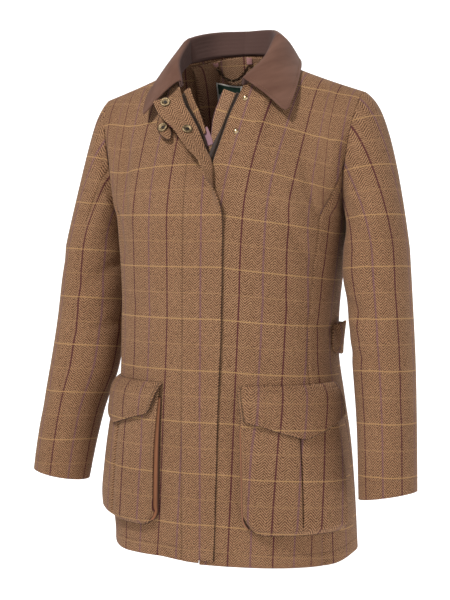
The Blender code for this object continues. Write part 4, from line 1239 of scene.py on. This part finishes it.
TAB_SHARE = 0.186
level = np.concatenate([[1.460, 1.4615], np.linspace(1.463, 1.61, 34)])[:, None]
half = 0.074 * np.sqrt(np.clip(1 - np.clip((1.53 - level) / 0.072, 0, 1) ** 3, 0.02, 1))
share = -(TAB_SHARE + half * np.linspace(-1, 1, 22)[None, :])
off = 0.0050 + 0.0050 * ease(1.60, 1.46, level)
lay = stack(level * 0.25, -share * SHARE_RUN)
made, outer = laid(
    "throat_tab_cloth", "tweed", False, share, level, off, 0.0024, lay, plain_tweed, 0.35)[:2]
cut_from(made, outer, 0.046, 0.067, "throat_tab")
row = int(np.argmin(np.abs(level[:, 0] - 1.512)))
axis = unit(np.cross(outer[row, 12] - outer[row, 10], outer[row + 1, 11] - outer[row - 1, 11]))
axis = axis * -np.sign(axis[1])
at = (outer[row, 10] + outer[row, 11]) / 2 + axis * 0.0003
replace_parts(turned("ring_tab", RING, at, axis, aged_brass), "socket_tab")
# A painted shadow line round the tab's edge.
rim = np.concatenate([outer[:0:-1, 0], outer[0, :], outer[1:, -1]])
tube("tab_edge_shadow", "tweed", rim - axis * 0.0005, EDGE_ROUND, painted_edge_shadow, 6)
# The dark disc in the tab socket's centre is painted shade.
turned("well_tab", WELL, at, axis, socket_hole_shade)

# Pockets: bellows bags of tweed with rounded bottoms and one centre pleat, a pointed flap stitched along its
# top, and a strip of tan suede cloth that fills the opening at the inner side.
POCKET_STAND = 0.014
BAG_LOW = -0.757
BAG_HIGH = -0.535
BAG_IN = 0.235
BAG_OUT = 0.860
BAG_THICK = 0.0022
LAID = 0.0009
FLAP_TOP = -0.524
FLAP_IN = 0.226
FLAP_WIDE = 0.646
FLAP_THICK = 0.0024
FLAP_SEWN = 0.008
PLEAT = ((0.44, 0.0), (0.485, 0.0014), (0.495, 0.0035), (0.4985, 0.0080), (0.5015, 0.0080), (0.505, 0.0035),
         (0.515, 0.0014), (0.56, 0.0))
suede = Finish("gusset_suede", roughness=0.95, sheen=0.05)
place, u, v = suede.cloth_place()
rubbed = suede.mix(suede.noise(place, 60, 3), (0.235, 0.092, 0.042), (0.36, 0.155, 0.078))
shadow = u.step(0.55, 0.18) + u.step(0.75, 1.0)
gusset_suede = suede.end(
    suede.mix(shadow, rubbed, (0.050, 0.020, 0.012)), suede.noise(place, 900, 2), 0.3, 0.0005)


def level_of(z):
    return (np.asarray(z, float) - HEM_Z) / (UNDERARM_Z - HEM_Z)


def pleat_shift(p, q):
    """How far the pleat lies towards the front."""
    return (0.035 + 0.035 * (1 - q)) * 4 * p * (1 - p)


def bag_stand(p, q):
    """How far the pocket cloth stands off the coat, over its width p and its height q."""
    full = POCKET_STAND * (1 - 0.72 * q**2) * ease(0, 0.10, 1 - p) * ease(-0.02, 0.05, q)
    pleat = np.interp(p + pleat_shift(p, q), *zip(*PLEAT)) * ease(0.02, 0.10, q) * ease(0, 0.25, 1.02 - q)
    return LAID + BAG_THICK + np.maximum(full - pleat, 0)


def bag_bottom(p):
    corner = np.clip((np.abs(2 * p - 1) - 0.70) / 0.30, 0, 1)
    return BAG_LOW + 0.028 * (1 - np.sqrt(1 - 0.96 * corner**2))


def bag_spot(side, p, q):
    """Share and height of the pocket cloth over its width and its own height."""
    low = bag_bottom(p)
    return (BAG_IN + (BAG_OUT - BAG_IN) * p) * side, low + (BAG_HIGH - low) * q


def pocket_place(side, share, level, up):
    """Coordinates of cloth laid over a front: its stripes there, and true lengths on round the side."""
    base = body(side, False, np.abs(share), level, False)
    place = front_place(side, base, up)
    run = run_along(base, 1)
    third = base.shape[1] // 3
    place[..., 0] = place[:, third:third + 1, 0] + run - run[:, third:third + 1]
    return place


def sewn_off(share, level, off):
    """A path on a cloth that lies off the fronts, with the directions out of it."""
    path = across(False, share, level, off)
    return path, unit(path - across(False, share, level, off - 0.002))


def flap_long(p):
    """Length of the flap down to its pointed lower edge, over its width."""
    low = -0.577 - 0.031 * (1 - np.abs(p - 0.48) / np.where(p < 0.48, 0.48, 0.52))
    return FLAP_TOP - low - 0.006 * (ease(0.03, 0.0, p) + ease(0.97, 1.0, p))


def flap_off(drop):
    """How far the flap stands off at a drop below its seam, and the dent of its stitches there."""
    return LAID + FLAP_THICK + 0.0140 * (1 - np.exp(-drop / 0.011)), 0.0010 * bell(drop - FLAP_SEWN, 0.0013)


for name, side in SIDES:
    p = np.concatenate([
        [0, 0.004, 0.012], np.linspace(0.02, 0.44, 24), np.linspace(0.455, 0.485, 3),
        np.linspace(0.487, 0.513, 27), np.linspace(0.515, 0.545, 3), np.linspace(0.56, 0.98, 26),
        [0.988, 0.996, 1]])
    q = np.concatenate([[0, 0.005, 0.012, 0.02, 0.03, 0.045, 0.06, 0.08], np.linspace(0.1, 1, 56)])
    p, q = np.broadcast_arrays(p[None, :], q[:, None])
    p = p - pleat_shift(p, q)
    share, height = bag_spot(side, p, q)
    level = level_of(height)
    place = pocket_place(side, share, level, height)
    made, outer, below = laid(
        f"pocket_cloth_{name}", "tweed", False, share, level, bag_stand(p, q), BAG_THICK, place, tweed, 0.3)
    cut_from(made, outer, 0.236, 0.233, f"pocket_{name}")
    # A painted shadow line under the pocket's lower edge.
    edge_shadow_line(f"pocket_edge_shadow_{name}", outer[0], outer[1], below[0])
    t = np.linspace(0, 1, 60)
    p = np.concatenate([0 * t + 0.975, 0.975 - 0.95 * t, 0 * t + 0.025])
    q = np.concatenate([0.98 - 0.95 * t, 0 * t + 0.03, 0.03 + 0.95 * t])
    share, height = bag_spot(side, p, q)
    sewn(f"pocket_stitches_{name}", [sewn_off(share, level_of(height), bag_stand(p, q))])

    # Gusset, from the coat beside the pocket up under its inner edge
    height = np.linspace(BAG_LOW + 0.009, BAG_HIGH - 0.013, 48)[:, None]
    t = np.linspace(0, 1, 12)[None, :]
    height, t = np.broadcast_arrays(height, t)
    curve = 1 - np.clip((height - BAG_LOW) / 0.028, 0, 0.8)
    edge = 0.15 * (1 - np.sqrt((1 - curve**2) / 0.96))
    q = np.clip((height - bag_bottom(edge)) / (BAG_HIGH - bag_bottom(edge)), 0.03, 1)
    beside = 0.010 * (side > 0) * ease(-0.575, -0.605, height)
    share = (BAG_IN + (BAG_OUT - BAG_IN) * edge - 0.010 - beside + 0.018 * t**1.5) * side
    top = bag_stand(edge + 0.01, q) - BAG_THICK - 0.0024
    middle = across(False, share, level_of(height), 0.0020 + (top - 0.0020) * t)
    lay = stack(t, height)
    made = free_cloth(f"gusset_cloth_{name}", "gusset_suede", middle, 0.0014, gusset_suede, 0.2, lay)
    cut_from(made, middle, 0.013, 0.206, f"pocket_gusset_{name}")

    # Flap, sewn along its top and standing off the pocket below
    slant, depth = (0.030, 1.0) if side > 0 else (0.065, 0.88)
    p = graded(60, 0.02)
    q = np.concatenate([[0, 0.01, 0.025], np.linspace(0.04, 0.97, 42), [0.985, 0.995, 1]])
    p, q = np.broadcast_arrays(p[None, :], q[:, None])
    share = (FLAP_IN + FLAP_WIDE * (p + slant * q * (1 - p) ** 2)) * side
    drop = flap_long(p) * depth * q
    off, dent = flap_off(drop)
    level = level_of(FLAP_TOP - drop)
    place = pocket_place(side, share, level, FLAP_TOP + 0.003 - drop)
    made, outer, below = laid(
        f"pocket_flap_cloth_{name}", "tweed", False, share, level, off - dent, FLAP_THICK - dent, place,
        tweed, 0.4)
    cut_from(made, outer, 0.222, 0.089, f"pocket_flap_{name}")
    # Painted shadow lines under the flap's lower edge and along its inner end.
    edge_shadow_line(f"flap_edge_shadow_{name}", outer[-1], outer[-2], below[-1])
    edge_shadow_line(f"flap_end_shadow_{name}", outer[4:, 0], outer[4:, 1], below[4:, 0])
    p = np.linspace(0.012, 0.988, 90)
    long = flap_long(p) * depth
    lines = []
    for drop in (FLAP_SEWN + 0 * p, long - SEWN_IN):
        share = (FLAP_IN + FLAP_WIDE * (p + slant * drop / long * (1 - p) ** 2)) * side
        off, dent = flap_off(drop)
        lines.append(sewn_off(share, level_of(FLAP_TOP - drop), off - dent))
    sewn(f"flap_stitches_{name}", lines)

# Waist tabs: doubled tweed tabs round the side seams, rounded at the front end, to draw in the waist.
# The upper edge curls away from the coat.
# Share of the tab's length: place round the body, where -2 is the side seam, and how far it stands off there
WAIST_TAB = (
    (0.00, -1.90, 0.0040), (0.10, -1.94, 0.0060), (0.20, -1.98, 0.0105), (0.32, -2.02, 0.0125),
    (0.45, -2.07, 0.0125), (0.60, -2.14, 0.0110), (0.75, -2.22, 0.0080), (0.90, -2.30, 0.0050),
    (1.00, -2.36, 0.0040))
t = graded(44, 0.01)
spots, offs = through(WAIST_TAB, t).T
tall = np.linspace(-1, 1, 16)[:, None]
rounded = np.sqrt(np.clip(1 - np.clip((0.10 - t) / 0.10, 0, 0.92) ** 2, 0, 1))
z = -0.4545 + 0.0225 * tall * rounded + 0.0045 * bell(t - 0.38, 0.22) * (tall + 0.2)
for name, side in SIDES:
    sheets = []
    for thick in (0, 0.003):
        columns = []
        for spot, off, up in zip(spots, offs, z.T):
            share = (spot + 3 if spot < -2 else -spot - 1) * side
            stand_off = off * (0.80 + 0.20 * tall[:, 0]) + 0.0008 - thick
            columns.append(across(spot < -2, share, level_of(up), stand_off))
        sheets.append(np.stack(columns, axis=1))
    place = grid_place(sheets[0]) + np.array((0.012, 0.03))
    made = cloth_mesh(f"waist_tab_cloth_{name}", "tweed", *sheets, place, (tweed,), 0.4)
    cut_from(made, sheets[0], 0.107, 0.055, f"waist_tab_{name}")

# Inside the back neck: a tweed facing below the stand, mauve lining under it, a blank woven label, and a
# hanging chain of small bronze links between two satin loops.
NECK_RISE = 0.27
share = np.linspace(-0.30, 0.30, 80)[None, :]
level = np.linspace(1.47, 1.994, 60)[:, None]
lay = stack(share * 0.29, level * NECK_RISE - 0.437)
# The facing takes the paler copy of the tweed, with its painted light.
made, outer = laid(
    "facing_cloth", "tweed", True, share, level, -CLOTH - 0.0046, -0.0014, lay, relit_tweed, 0.2)[:2]
cut_from(made, outer, 0.202, 0.146, "neck_facing")
level = np.linspace(1.15, 1.467, 40)[:, None]
lay = stack(share * SHARE_RUN, level * NECK_RISE)
made, outer = laid(
    "lining_cloth", "lining_satin", True, share, level, -CLOTH - 0.0042, -0.0010, lay, lining_satin, 0.2)[:2]
cut_from(made, outer, 0.187, 0.107, "lining")

woven = Finish("label_cloth", roughness=0.85)
place, u, v = woven.cloth_place()
inset = woven.math("MINIMUM", u.fold(0.5), v.fold(0.5))
rib = (v * 260.0).sine() * 0.5 + (u * 420.0).sine() * 0.5
field = woven.mix(v.step(0.44, 0.46), (0.30, 0.30, 0.27), (0.016, 0.040, 0.026))
label_cloth = woven.end(woven.mix(inset.step(0.055, 0.075), (0.62, 0.60, 0.54), field), rib, 0.3, 0.0004)
share = np.linspace(-0.185, -0.020, 30)[None, :]
level = np.linspace(1.645, 1.780, 22)[:, None]
lay = stack(np.linspace(0, 1, 30)[None, :], np.linspace(0, 1, 22)[:, None])
made, outer = laid(
    "label_patch", "label_cloth", True, share, level, -CLOTH - 0.0066, -0.0008, lay, label_cloth, 0.3)[:2]
cut_from(made, outer, 0.051, 0.040, "label")

ribbon = Finish("loop_ribbon", roughness=0.6, sheen=0.1)
place, u, v = ribbon.cloth_place()
dyed = ribbon.mix(ribbon.noise(place, 240, 2), (0.30, 0.125, 0.125), (0.56, 0.29, 0.27))
loop_ribbon = ribbon.end(dyed, (v * 4200.0).sine(), 0.3, 0.0004)
LOOPS = (("right", -0.165), ("left", 0.035))
for name, middle in LOOPS:
    share = middle + np.linspace(-0.016, 0.016, 14)[None, :]
    level = np.linspace(1.935, 1.992, 16)[:, None]
    off = -CLOTH - 0.0068 - 0.0022 * np.cos((share - middle) / 0.016 * math.pi / 2)
    lay = stack(share * SHARE_RUN, level * NECK_RISE)
    loop = f"chain_loop_cloth_{name}"
    made = laid(loop, "lining_satin", True, share, level, off, -0.0010, lay, loop_ribbon, 0.3)[0]
    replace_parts(made, f"chain_loop_{name}")

LINK = 0.0040
LINK_LONG, LINK_WIDE, WIRE = 0.0031, 0.0022, 0.00090
chain_bronze = mottled(
    "chain_bronze", (0.030, 0.018, 0.012), (0.115, 0.072, 0.042), 600, 0.36, metallic=1.0, sharp=True)
share = np.linspace(LOOPS[0][1], LOOPS[1][1], 200)
sag = 1 - ((share + 0.065) / 0.10) ** 2
line = across(True, share, 1.925 - 0.105 * sag, -CLOTH - 0.0110)
run = run_along(line)
spin = np.linspace(0, 2 * math.pi, 14, endpoint=False)[:, None]
wire = np.linspace(0, 2 * math.pi, 6, endpoint=False)[None, :, None]
i, j = np.meshgrid(np.arange(14), np.arange(6), indexing="ij")
ni, nj = (i + 1) % 14, (j + 1) % 6
quads = np.stack([i * 6 + j, ni * 6 + j, ni * 6 + nj, i * 6 + nj], -1).reshape(-1, 4)
parts = []
for k in range(int(run[-1] / LINK)):
    at = on_path((k + 0.5) * LINK, run, line)
    ahead = unit(on_path((k + 0.9) * LINK, run, line) - at)
    flat = unit(np.cross(ahead, (0.0, 1.0, 0.15)))
    deep = np.cross(ahead, flat)
    lean = math.radians(45 if k % 2 else -45)
    flat, deep = flat * math.cos(lean) + deep * math.sin(lean), deep * math.cos(lean) - flat * math.sin(lean)
    heart = at + np.cos(spin) * ahead * LINK_LONG + np.sin(spin) * flat * LINK_WIDE
    away = unit(np.cos(spin) * ahead * LINK_WIDE + np.sin(spin) * flat * LINK_LONG)
    rings = heart[:, None] + WIRE * (away[:, None] * np.cos(wire) + deep * np.sin(wire))
    parts.append((rings.reshape(-1, 3), quads))
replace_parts(joined("chain_links", parts, chain_bronze), "hang_chain")
